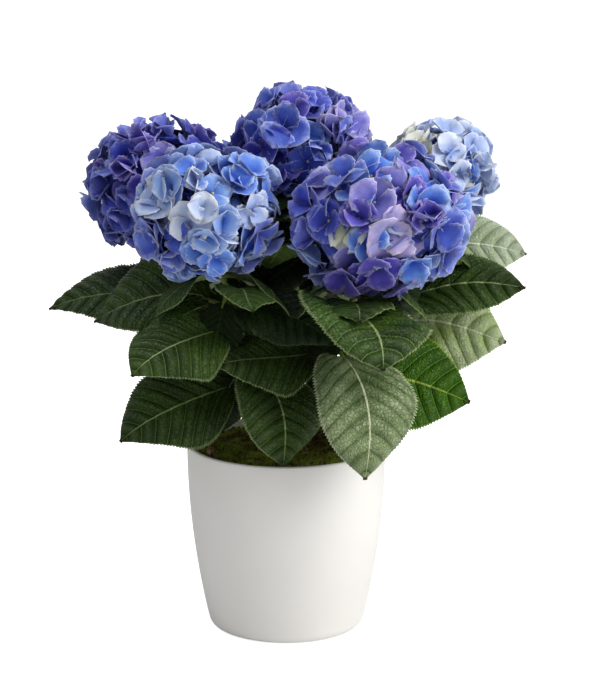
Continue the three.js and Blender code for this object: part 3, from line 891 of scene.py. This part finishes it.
def leafGrid(rib, shape, seed):  # the points, faces and map of one closed blade
    form, length = leafForm, rib[1]
    nRows, columns = blades[shape["fine"]]
    steps = np.linspace(0, 1, columns + 1) ** 1.15  # columns crowd a little towards the midrib
    across = np.concatenate([-steps[:0:-1], steps])
    share, x = np.meshgrid(np.linspace(0, 1, nRows), across, indexing="ij")
    edge, half = np.abs(x), halfWidths(length, shape, share)
    fade = smooth(0, 0.06, share) * smooth(1, 0.96, share)  # all relief dies out at the two ends
    tooth = np.where(np.arange(nRows)[:, None] % 2 == 0, 1.0, -0.6) * (edge > 0.999) * fade
    slant = edge * (form["veinSlope"] + form["veinCurve"] * edge) * (1 - share**2)
    puff = np.abs(np.sin(math.pi * form["veins"] * (share - slant))) ** 0.75 - 0.6
    calm = smooth(0, 0.1, edge) * (1 - 0.55 * edge**3)
    rise = form["quilt"] * puff * calm * length * (1 - form["petiole"]) / 100
    rise = rise + form["wave"] * half * edge**1.5 * ripples(seed, share * 5.5, x * 1.7)
    rise = rise + form["twist"] * half * x * ripples(seed + 900, share * 2.6, 0)
    rise = rise * fade - form["rolled"] * half * edge**5 * smooth(0.1, 0.4, share)
    uneven = 1 + form["lobes"] * fade * ripples(seed + 700, share * 9, 3 * np.sign(x))
    swing = form["sway"] * fade * ripples(seed + 500, share * 2.2, 0)
    wide = x * (1 + form["teeth"] * tooth) * uneven + swing
    along = np.clip(share + 0.007 * tooth, 0, 1)
    skin = form["thickness"] * (1 - 0.6 * edge) / 2
    keel = form["keel"] * np.exp(-((edge / 0.035) ** 2)) * (1 - 0.8 * share)
    sides = [onBlade(rib, shape, along, wide, above) for above in (rise + skin, rise - skin - keel)]
    uv = np.stack([(x + 1) / 2, share], -1).reshape(-1, 2)
    return np.reshape(sides, (-1, 3)), sheet(nRows, len(across)), uv


def makeLeaves(name, ribs):
    points, faces, uv, bake, index, rims, first = [], [], [], [], [], [], 0
    cells = math.ceil(math.sqrt(len(ribs) * 2))  # along each side of the bake's map, one for a blade's side
    for k, (rib, shape) in enumerate(ribs):
        places, (top, low, rim), leafUv = leafGrid(rib, shape, 100 + k)
        tone = list(foliage).index(shape["tint"])
        faces += [tuple(first + v for v in face) for face in top + low + rim]
        rims += range(len(faces) - len(rim), len(faces))
        index += [tone] * len(top) + [len(foliage)] * len(low) + [tone] * len(rim)
        points.append(places)
        uv += [leafUv, leafUv]
        for cell in (2 * k, 2 * k + 1):
            corner = np.array([cell % cells, cell // cells])
            bake.append((corner + 0.03 + 0.94 * leafUv) / cells)
        first += len(places)
    maps = {"leafUv": np.vstack(uv), "OFBake": np.vstack(bake)}
    return meshObject(name, np.vstack(points), faces, maps, rims, leafSkins, index)


def rodTree():  # round rods along chains of edges, as thick as each point says
    tree, given = newTree("rodsOnPaths", Sides="Int", Thickness="Float", Material="Material")
    curve = node(tree, "GeometryNodeMeshToCurve", {"Mesh": given["Geometry"]})
    thick = times(tree, pointValue(tree, "size"), given["Thickness"])
    sized = node(tree, "GeometryNodeSetCurveRadius", {"Curve": curve, "Radius": thick})
    inputs = {"Resolution": given["Sides"], "Radius": 1.0}
    ring = node(tree, "GeometryNodeCurvePrimitiveCircle", inputs)
    made = tree.nodes.new("GeometryNodeCurveToMesh")
    inputs = {"Curve": sized, "Profile Curve": ring, "Fill Caps": True, "Scale": thick}
    for label, value in inputs.items():
        if label in made.inputs:  # older releases have no scale and take the radius
            feed(tree, made.inputs[label], value)
    return endTree(tree, made.outputs[0], given["Material"])


def rods(name, paths, sides, material):  # paths: (points, radii) pairs, in millimetres
    places, radii, edges = [], [], []
    for points, thick in paths:
        first = len(places)
        places += list(points)
        radii += list(np.asarray(thick) * mm)
        edges += [(first + i, first + i + 1) for i in range(len(points) - 1)]
    base = loose(name, places, edges, size=radii)
    piece = grown(name, base, rodsOnPaths, {"Sides": sides, "Thickness": 1.0, "Material": material})
    piece.data.shade_smooth()
    return piece


def shootPaths(curve, ribs):
    t = np.linspace(caneForm["shoot"] - 0.01, 0.96, 40)
    share = (t - caneForm["shoot"]) / (1 - caneForm["shoot"])
    swell = 1 + 0.22 * np.exp(-(((t * 9) % 1 - 0.5) ** 2) / 0.01)  # a knot at each pair of leaves
    radii = between((caneForm["shootRadius"], caneForm["tipRadius"]), share)
    paths = [(bent(*curve, t), radii * swell)]
    for (at, length), _ in ribs:
        point, _, face = at(np.linspace(0, length * (leafForm["petiole"] + 0.1), 9))
        paths.append((point - face * 0.5, leafForm["petioleRadius"] * np.linspace(1.35, 0.75, 9)))
    return paths


def addCollar(cane):
    x, y, z = bent(*cane["curve"], collar["at"])
    reach = collar["reach"]
    for i in range(collar["count"]):
        turn = math.radians(collar["from"] + collar["sweep"] * i / (collar["count"] - 1))
        tip = [x + reach * math.sin(turn), y - reach * math.cos(turn), z - collar["drop"]]
        roll, tint = collar["roll"] * (-1) ** i, "young" if i == 1 else "mid"
        cane["leaves"].append(leaf(collar["at"], tip, collar["droop"], roll, tint, fine="young"))


leafSkins = [leafMaterial(f"leaf_{tint}", tones, 0.3, 1.0) for tint, tones in foliage.items()]
leafSkins.append(leafMaterial("leaf_underside", underside, 0.6, -0.8))
shootSkin = plainRough("greenShoot", "5f7a34", "7c8a48", 60, 0.5)
rodsOnPaths = rodTree()
for name, cane in canes.items():
    makeCane(name)
    addCollar(cane)
    ribs = [(midrib(bent(*cane["curve"], shape["at"]), shape), shape) for shape in cane["leaves"]]
    settle(makeLeaves(f"blades_{name}", ribs), "foliage", f"leaves_{name}")
    settle(rods(f"shoots_{name}", shootPaths(cane["curve"], ribs), 10, shootSkin), "foliage")
print("leaves made:", sum(len(cane["leaves"]) for cane in canes.values()))

# ---- flower heads ----

# A floret sits at its head's `sink` of its own radius below the surface, `lift` of it higher or lower,
# and takes the best of `tries` poses: the one whose sepals cross its neighbours' least.
headForm = {"cover": 0.93, "lean": 1.0, "lift": 0.6, "tries": 12, "touch": 2.2, "size": (0.8, 1.12)}
sepalForm = {"thickness": 0.02, "teeth": 0.05, "clawWidth": 0.05, "feelerStep": (2, 3)}
sepalGrids = {"outer": (11, 4), "core": (6, 2)}  # rows along a sepal and columns across it
# How much the sepals of one floret differ: their rise in degrees, their length and breadth, how far
# they tip to a side and how far they turn, in radians.
sepalVary = {"rise": 8, "length": (0.88, 1.06), "breadth": (0.92, 1.1), "tip": 0.16, "turn": 0.09}
# A second, darker layer closes the head behind its outer florets, at `depth` of their own distance; its
# colour is painted shade in the gaps between them.
core = {"count": 46, "depth": 0.78, "radius": 19.0, "size": (0.85, 1.1)}
# Kinds of floret: how steeply the sepals rise at the root and at the tip in degrees, how broad and
# how pointed they are, how far their edges curl in, how wavy they are, and how often they come.
floretKinds = [
    {"rise": (40, -14), "breadth": 0.56, "point": 0.95, "curl": 0.24, "wave": 0.1, "share": 4},
    {"rise": (24, 10), "breadth": 0.58, "point": 0.85, "curl": 0.34, "wave": 0.1, "share": 3},
    {"rise": (30, -56), "breadth": 0.58, "point": 1.05, "curl": -0.16, "wave": 0.12, "share": 4},
    {"rise": (8, -10), "breadth": 0.54, "point": 0.8, "curl": 0.14, "wave": 0.1, "share": 2},
    {"rise": (58, 0), "breadth": 0.58, "point": 0.95, "curl": 0.36, "wave": 0.1, "share": 2},
    {"rise": (72, 40), "breadth": 0.54, "point": 1.0, "curl": 0.5, "wave": 0.1, "share": 1},
]
pairRise = (14.0, -9.0)  # degrees by which the inner and the outer pair of sepals differ
variants = 16
# For each head: how many florets and how large, its shades with their share of the florets, the shade of its
# inner layer, painted shade in the gaps, and sprays of one shade, each with its place across and up the
# head's face in head radii and its spread.
florets = {
    "front_left": {
        "slot": "bloom_blue",
        "count": 92,
        "radius": 20.0,
        "sink": 0.7,
        "core": "navyShade",
        "shades": {"azure": 6, "blue": 4, "sky": 6, "mist": 2},
        "sprays": [
            ("pearl", -0.5, 0.16, 0.28),
            ("pearl", -0.14, 0.34, 0.18),
            ("mist", 0.5, -0.08, 0.26),
            ("sky", 0.2, 0.05, 0.45),
            ("blue", -0.75, -0.35, 0.4),
            ("azure", 0.0, -0.75, 0.5),
        ],
    },
    "front_right": {
        "slot": "bloom_lilac",
        "count": 104,
        "radius": 22.5,
        "sink": 0.68,
        "core": "navyShade",
        "shades": {"blue": 7, "lilac": 5, "violet": 2, "azure": 4},
        "sprays": [
            ("cream", -0.5, 0.12, 0.15),
            ("azure", -0.4, -0.1, 0.16),
            ("blush", 0.1, -0.04, 0.24),
            ("mist", 0.1, 0.43, 0.15),
            ("mist", 0.34, 0.38, 0.13),
            ("blush", 0.52, -0.06, 0.15),
            # painted shade: an indigo spray on the head's left side, away from the lamp
            ("indigo", -0.9, 0.1, 0.4),
            ("violet", -0.1, -0.85, 0.4),
        ],
    },
    "left": {
        "slot": "bloom_violet",
        "count": 88,
        "radius": 21.0,
        "sink": 0.42,
        "core": "navyShade",
        "shades": {"indigo": 8, "violet": 5, "blue": 1},
        # painted shade: the indigo spray darkens the head's lower left, away from the lamp
        "sprays": [("lilac", 0.1, 0.7, 0.24), ("indigo", -0.6, -0.6, 0.6)],
    },
    "back": {
        "slot": "bloom_violet",
        "count": 90,
        "radius": 21.0,
        "sink": 0.9,
        "core": "navyShade",
        "shades": {"indigo": 5, "blue": 6, "violet": 2, "lilac": 2},
        "sprays": [("lilac", 0.75, -0.1, 0.3), ("azure", 0.1, 0.5, 0.25)],
    },
    "right": {
        "slot": "bloom_pale",
        "count": 78,
        "radius": 18.5,
        "sink": 0.92,
        "core": "azure",
        "shades": {"sky": 3, "mist": 9, "pearl": 4},
        "sprays": [("cream", -0.62, 0.45, 0.42), ("pearl", 0.1, 0.4, 0.3), ("cream", 0.42, -0.12, 0.26)],
    },
}
# The edge tone paints both the sepals' paler edges and a painted highlight along their rims.
shades = {  # the sepal's face, its throat and its edge
    "navyShade": ("2a329a", "1a2070", "4a54b8"),
    "indigo": ("4452c4", "2a349c", "98a0e0"),
    "violet": ("5a50be", "3a349c", "a69ede"),
    "blue": ("5870d0", "3448b0", "b4bce8"),
    "lilac": ("8c88d4", "5a5cba", "c8c4e8"),
    "azure": ("6490e2", "3c62cc", "bccef0"),
    "sky": ("8eaee8", "5e86d8", "d0dcf4"),
    "mist": ("b8c8ec", "8aa4dc", "e2e8f4"),
    "pearl": ("cfdaf0", "9eb2de", "eef1f7"),
    "cream": ("e6e8e4", "cdd4b0", "f4f5f0"),
    "blush": ("b0a4d6", "8084c6", "d8cce6"),
}
eye = {"radius": 1.4, "above": 0.6, "colour": "b8c4dc", "warm": "c2c27a"}
stalk = {"foot": 0.93, "thick": (1.1, 0.55), "knee": (0.3, 0.35), "colour": "7f9a6a", "blue": "93a3b0"}


def sepalMaterial(name, face, throat, edge):
    material, tree, shader = newMaterial(name, 0.55, 0.25)
    shader["Sheen Weight"].default_value = 0.25
    shader["Sheen Roughness"].default_value = 0.4
    _, u, raw = uvPlace(tree, "sepalUv")
    below = calc(tree, "GREATER_THAN", raw, 1.5)  # the underside's part of the map starts at 2
    v = calc(tree, "MULTIPLY_ADD", below, -2.0, raw)
    x = calc(tree, "MULTIPLY_ADD", u, 2.0, -1.0)
    side = calc(tree, "ABSOLUTE", x)
    veins = calc(tree, "PINGPONG", times(tree, x, 7.0), 0.5)
    place = objectPlace(tree)
    cloud = noise(tree, place, (300, 300, 300), 3)
    band = calc(tree, "MAXIMUM", ramp(tree, side, 0.55, 1.0), ramp(tree, v, 0.65, 1.0))
    band = times(tree, band, ramp(tree, cloud, 0.3, 0.65, 0.05, 0.8))
    # painted highlight: a thin light line along the sepal's edge, where its rim catches the light
    rimHighlight = calc(tree, "MAXIMUM", ramp(tree, side, 0.84, 0.96, 0.0, 0.9), ramp(tree, v, 0.92, 0.98, 0.0, 0.9))
    layers = [
        # darker towards the root: a deeper colour there, and painted shade in the floret's cupped centre
        (ramp(tree, v, 0.1, 0.7), face),
        (ramp(tree, noise(tree, place, (75, 75, 75), 2), 0.42, 0.62, 0.0, 0.6), throat),
        (times(tree, below, 0.3), edge),
        (ramp(tree, veins, 0.0, 0.22, 0.4, 0.0), throat),
        # the paler edge band is the sepal's own colour; the thin line over it is painted highlight
        (calc(tree, "MAXIMUM", band, rimHighlight), edge),
    ]
    feed(tree, shader["Base Color"], painted(tree, throat, *layers))
    feed(tree, shader["Normal"], bumped(tree, veins, 0.5, 0.0004))
    return material


def sepalSides(kind, k, draw, share, x):  # the upper and lower points of a floret's sepal number k
    low, high = np.radians(np.array(kind["rise"]) + draw.normal(0, sepalVary["rise"], 2) + pairRise[k % 2])
    size = draw.uniform(*sepalVary["length"])
    steps = np.linspace(0, 1, 41)
    slope = low + (high - low) * steps**0.8
    out, lift = (np.append(0, np.cumsum(way(slope[:-1]) / 40)) for way in (np.cos, np.sin))
    radial, height, bend = (np.interp(share, steps, values) for values in (out, lift, slope))
    outline = share**1.1 * (1 - share) ** kind["point"]
    breadth = kind["breadth"] * draw.uniform(*sepalVary["breadth"])
    half = breadth * outline / outline.max() + sepalForm["clawWidth"] * (1 - share)
    tooth = np.where(np.arange(len(share))[:, None] % 2 == 0, 1, -1) * (np.abs(x) > 0.99)
    half = half * (1 + sepalForm["teeth"] * tooth)
    wave = kind["wave"] * ripples(int(draw.integers(1e6)), share * 5, x * 2.6)
    tip = draw.normal(0, sepalVary["tip"])
    raised = half * kind["curl"] * x * x + wave * np.abs(x) + tip * x * half
    radial, height = radial - raised * np.sin(bend), height + raised * np.cos(bend)
    place = np.stack([half * x, radial, height], -1) * size
    thick = sepalForm["thickness"] * (1 - 0.5 * np.abs(x)) / 2
    skin = np.stack([0 * x, -np.sin(bend) * thick, np.cos(bend) * thick], -1)
    angle = k * math.pi / 2 + draw.normal(0, sepalVary["turn"])
    c, s = math.cos(angle), math.sin(angle)
    turn = np.array([[c, s, 0], [-s, c, 0], [0, 0, 1]])
    return [(place + sign * skin).reshape(-1, 3) @ turn for sign in (1, -1)]


def floretGrid(kind, draw, fine):  # four sepals round a small eye, one unit in radius
    nRows, columns = sepalGrids[fine][0], sepalGrids[fine][1] + 1
    share, x = np.meshgrid(np.linspace(0, 1, nRows), np.linspace(-1, 1, columns), indexing="ij")
    points, faces, rims, uv, bake = [], [], [], [], []
    for k in range(4):
        top, low, rim = sheet(nRows, columns, 2 * k * nRows * columns)
        faces += top + low + rim
        rims += range(len(faces) - len(rim), len(faces))
        points += sepalSides(kind, k, draw, share, x)
        for part in (0, 1):
            uv.append(np.stack([(x + 1) / 2, share + 2 * part], -1).reshape(-1, 2))
            bake.append(np.stack([(x + 1) * 0.235 + 0.015 + 0.5 * part, share], -1).reshape(-1, 2))
    maps = {"sepalUv": np.vstack(uv), "OFBake": np.vstack(bake)}
    return np.vstack(points) / mm, faces, maps, rims


def feelerPoints(points, fine):  # some places on a unit floret's sepals, to feel for its neighbours with
    nRows, columns = sepalGrids[fine]
    alongStep, acrossStep = sepalForm["feelerStep"]
    sheets = points.reshape(4, 2, nRows, columns + 1, 3)
    return sheets[:, 0, alongStep + 1 :: alongStep, ::acrossStep].reshape(-1, 3)


def hidden(shapes, shape):  # moves a shape out of the scene, into the collection a tree picks from
    bpy.context.scene.collection.objects.unlink(shape)
    shapes.objects.link(shape)


def floretShapes(fine):
    shapes, feelers = bpy.data.collections.new(f"{fine}Florets"), []
    pool = [kind for kind in floretKinds for _ in range(kind["share"])]
    for i in range(variants):
        points, faces, maps, rims = floretGrid(pool[i % len(pool)], np.random.default_rng(200 + i), fine)
        feelers.append(feelerPoints(points * mm, fine))
        hidden(shapes, meshObject(f"floret{i:02d}", points, faces, maps, rims))
    return shapes, feelers


def eyeShape():
    shape, shapes = ballShape(), bpy.data.collections.new("eyeShapes")
    shape.data.shade_smooth()
    hidden(shapes, shape)
    return shapes


def pickTree():  # puts a shape of the collection on each point, turned and sized as the point says
    tree, given = newTree("shapesOnPoints", Shapes="Collection", Size_Factor="Float", Material="Material")
    inputs = {"Collection": given["Shapes"], "Separate Children": True, "Reset Children": True}
    shapes = node(tree, "GeometryNodeCollectionInfo", inputs)
    turn, variant, size = (pointValue(tree, label) for label in ("turn", "variant", "size"))
    inputs = {"Points": given["Geometry"], "Instance": shapes, "Pick Instance": True}
    inputs |= {"Instance Index": variant, "Rotation": turn, "Scale": times(tree, size, given["Size Factor"])}
    return endTree(tree, node(tree, "GeometryNodeInstanceOnPoints", inputs), given["Material"])


def picked(label, own, shapes, material):  # one piece out of a floret's or an eye's shape for each given
    turns, sizes = [tuple(f["pose"]) for f in own], [f["radius"] * mm for f in own]
    kinds = [f["variant"] for f in own]
    base = loose(label, [f["place"] for f in own], turn=turns, size=sizes, variant=kinds)
    return grown(label, base, shapesOnPoints, {"Shapes": shapes, "Size Factor": 1.0, "Material": material})


def facing(out, draw):  # a pose that looks outwards, leaning a little at random
    way = unit(out + headForm["lean"] * (draw.random(3) - 0.5))
    return upward.rotation_difference(Vector(way))


def onHead(name, out, distance):
    return np.array(canes[name]["head"]["centre"]) + out * distance * [1, 1, headFlat]


def posed(name, out, feelers, draw):  # one try at a floret, with the places that it would touch
    form = florets[name]
    radius = form["radius"] * draw.uniform(*headForm["size"])
    depth = radius * (form["sink"] + headForm["lift"] * (draw.random() - 0.5))
    pose = facing(out, draw) @ Quaternion(upward, draw.uniform(0, math.pi))
    place = onHead(name, out, canes[name]["head"]["radius"] - depth)
    variant = int(draw.integers(variants))
    felt = place + feelers[variant] * radius @ np.array(pose.to_matrix()).T
    return {"place": place, "pose": pose, "radius": radius, "variant": variant, "felt": felt}


def spiral(count, seed):  # directions spread evenly over a ball, as the source deals its florets out
    golden = math.pi * (3 - math.sqrt(5))
    level = 1 - (2 * np.arange(count) + 1) / count * headForm["cover"]
    ring, angle = np.sqrt(1 - level**2), np.arange(count) * golden + seed
    return np.stack([ring * np.cos(angle), ring * np.sin(angle), level], 1)


def shadeFor(name, out, pool, draw):  # a spray's own shade where one lies, or one of the head's shades
    across, _, up = out
    for shade, x, z, spread in florets[name]["sprays"]:
        if out[1] < 0.3 and math.hypot(across - x, up - z) < spread * draw.uniform(0.75, 1.15):
            return shade
    return pool[int(draw.integers(len(pool)))]


def keepsItsSpace(name, place):  # false where a floret would sit past the plane midway to another head
    centre, radius = np.array(canes[name]["head"]["centre"], float), canes[name]["head"]["radius"]
    for otherName, other in canes.items():
        way = np.array(other["head"]["centre"], float) - centre
        far = np.linalg.norm(way)
        share = radius / (radius + other["head"]["radius"])
        if otherName != name and (place - centre) @ way / far > far * share:
            return False
    return True


def crossings(trial, felt):  # how often a floret's sepals come close to those of its neighbours
    gaps = np.linalg.norm(trial["felt"][:, None] - felt[None], axis=2)
    return int((gaps < headForm["touch"]).sum())


def headFlorets(name, feelers, draw):  # the source's spiral, with each floret clear of its neighbours
    head, form, made = canes[name]["head"], florets[name], []
    pool = [shade for shade, share in form["shades"].items() for _ in range(share)]
    reach = 2.1 * form["radius"]
    for out in spiral(form["count"], head["seed"]):
        near = [f["felt"] for f in made if np.linalg.norm(f["out"] - out) * head["radius"] < reach]
        felt = np.vstack(near) if near else np.full((1, 3), 1e4)
        trials = [posed(name, out, feelers, draw) for _ in range(headForm["tries"])]
        best = trials[int(np.argmin([crossings(trial, felt) for trial in trials]))]
        if keepsItsSpace(name, best["place"]):
            made.append({**best, "out": out, "shade": shadeFor(name, out, pool, draw)})
    return made


def coreFlorets(name, draw):
    head, form, made = canes[name]["head"], florets[name], []
    distance = core["depth"] * (head["radius"] - form["sink"] * form["radius"])
    for out in spiral(core["count"], head["seed"] + 1):
        floret = {"pose": facing(out, draw), "radius": core["radius"] * draw.uniform(*core["size"])}
        made.append({**floret, "place": onHead(name, out, distance), "variant": int(draw.integers(variants))})
    return made


def eyeOn(floret):
    raised = np.array(floret["pose"] @ upward) * eye["above"]
    radius = eye["radius"] * (0.8 + 0.02 * floret["variant"])
    return {"place": floret["place"] + raised, "pose": floret["pose"], "radius": radius, "variant": 0}


def stalkPaths(name, made):  # a thin stalk to each floret, and the thick one they all leave
    curve = canes[name]["curve"]
    foot, centre = bent(*curve, stalk["foot"]), curve[2]
    toFoot, outwards = stalk["knee"]
    paths = []
    for floret in made:
        knee = centre + (foot - centre) * toFoot + floret["out"] * canes[name]["head"]["radius"] * outwards
        end = floret["place"] - np.array(floret["pose"] @ upward) * 0.5
        paths.append((bent(foot, knee, end, np.linspace(0, 1, 7)), np.linspace(*stalk["thick"], 7)))
    return [*paths, (bent(*curve, np.linspace(0.9, 0.99, 6)), np.full(6, caneForm["tipRadius"]))]


def makeHead(name):
    draw = np.random.default_rng(canes[name]["head"]["seed"])
    slotName, bloom = florets[name]["slot"], f"bloom_{name}"
    made = headFlorets(name, outerFeelers, draw)
    for shade in sorted({floret["shade"] for floret in made}):
        own = [floret for floret in made if floret["shade"] == shade]
        settle(picked(f"sepals_{name}_{shade}", own, outerShapes, sepalSkins[shade]), slotName, bloom)
    # painted shade: the inner layer's colour stands for the shade between the florets
    coreShadeSkin = sepalSkins[florets[name]["core"]]
    settle(picked(f"core_{name}", coreFlorets(name, draw), coreShapes, coreShadeSkin), slotName, bloom)
    settle(picked(f"eyes_{name}", [eyeOn(floret) for floret in made], eyeShapes, eyeSkin), slotName)
    settle(rods(f"stalks_{name}", stalkPaths(name, made), 5, stalkSkin), "foliage")
    return len(made)


sepalSkins = {shade: sepalMaterial(f"sepal_{shade}", *tones) for shade, tones in shades.items()}
eyeSkin = plainRough("floretEye", eye["colour"], eye["warm"], 300, 0.5)
stalkSkin = plainRough("paleStalk", stalk["colour"], stalk["blue"], 80, 0.6)
(outerShapes, outerFeelers), (coreShapes, _) = floretShapes("outer"), floretShapes("core")
eyeShapes, shapesOnPoints = eyeShape(), pickTree()
print("florets made:", sum(makeHead(name) for name in canes))
for pool in (outerShapes, coreShapes, eyeShapes):
    for shape in list(pool.objects):
        bpy.data.objects.remove(shape)
    bpy.data.collections.remove(pool)

# ---- stage, light and camera ----

stage = {"floor": "f4f4f4", "floorSize": 24.0, "glow": 0.82, "background": 1.0, "fill": 0.36}
lamps = {  # place and aim in metres, size in metres, power in watts
    "key": ((1.78, -0.82, 1.7), (0.0, 0.0, 0.24), 1.9, 56.0, "fffdfa"),
    "top": ((-0.5, 0.4, 2.1), (0.0, 0.0, 0.3), 1.4, 14.0, "f8faff"),
}
lens = {"place": (0.011, -2.32, 0.775), "aim": (0.011, 0.0, 0.227), "focal": 153.3, "sensor": 36.0}


def aimed(name, data, place, aim):
    made = linked(name, data)
    made.location = place
    made.rotation_euler = (Vector(aim) - Vector(place)).to_track_quat("-Z", "Y").to_euler()
    return made


def seenByCamera(tree):
    return node(tree, "ShaderNodeLightPath", output="Is Camera Ray")


def makeFloor():
    bpy.ops.mesh.primitive_plane_add(size=stage["floorSize"], location=(0, 0, -0.0005))
    floor = bpy.context.object
    floor.name = "floor"
    material, tree, shader = newMaterial("paleFloor", 0.7, 0.2)
    shader["Base Color"].default_value = linear(stage["floor"])
    shader["Emission Color"].default_value = (1, 1, 1, 1)
    feed(tree, shader["Emission Strength"], times(tree, seenByCamera(tree), stage["glow"]))
    floor.data.materials.append(material)


def makeLights():
    for name, (place, aim, size, power, tone) in lamps.items():
        light = bpy.data.lights.new(name, "AREA")
        light.shape = "DISK"
        light.size, light.energy = size, power
        light.color = linear(tone)[:3]
        aimed(name, light, place, aim)
    world = bpy.data.worlds.new("studio")
    world.use_nodes = True
    tree = world.node_tree
    strength = ramp(tree, seenByCamera(tree), 0.0, 1.0, stage["fill"], stage["background"])
    feed(tree, tree.nodes["Background"].inputs["Strength"], strength)
    tree.nodes["Background"].inputs["Color"].default_value = (1, 1, 1, 1)
    bpy.context.scene.world = world


def makeCamera():
    data = bpy.data.cameras.new("camera")
    data.lens, data.sensor_width, data.clip_end = lens["focal"], lens["sensor"], 30
    bpy.context.scene.camera = aimed("camera", data, lens["place"], lens["aim"])


makeFloor()
makeLights()
makeCamera()
bpy.context.scene.view_settings.view_transform = "Standard"
print("stage, lights and camera made")
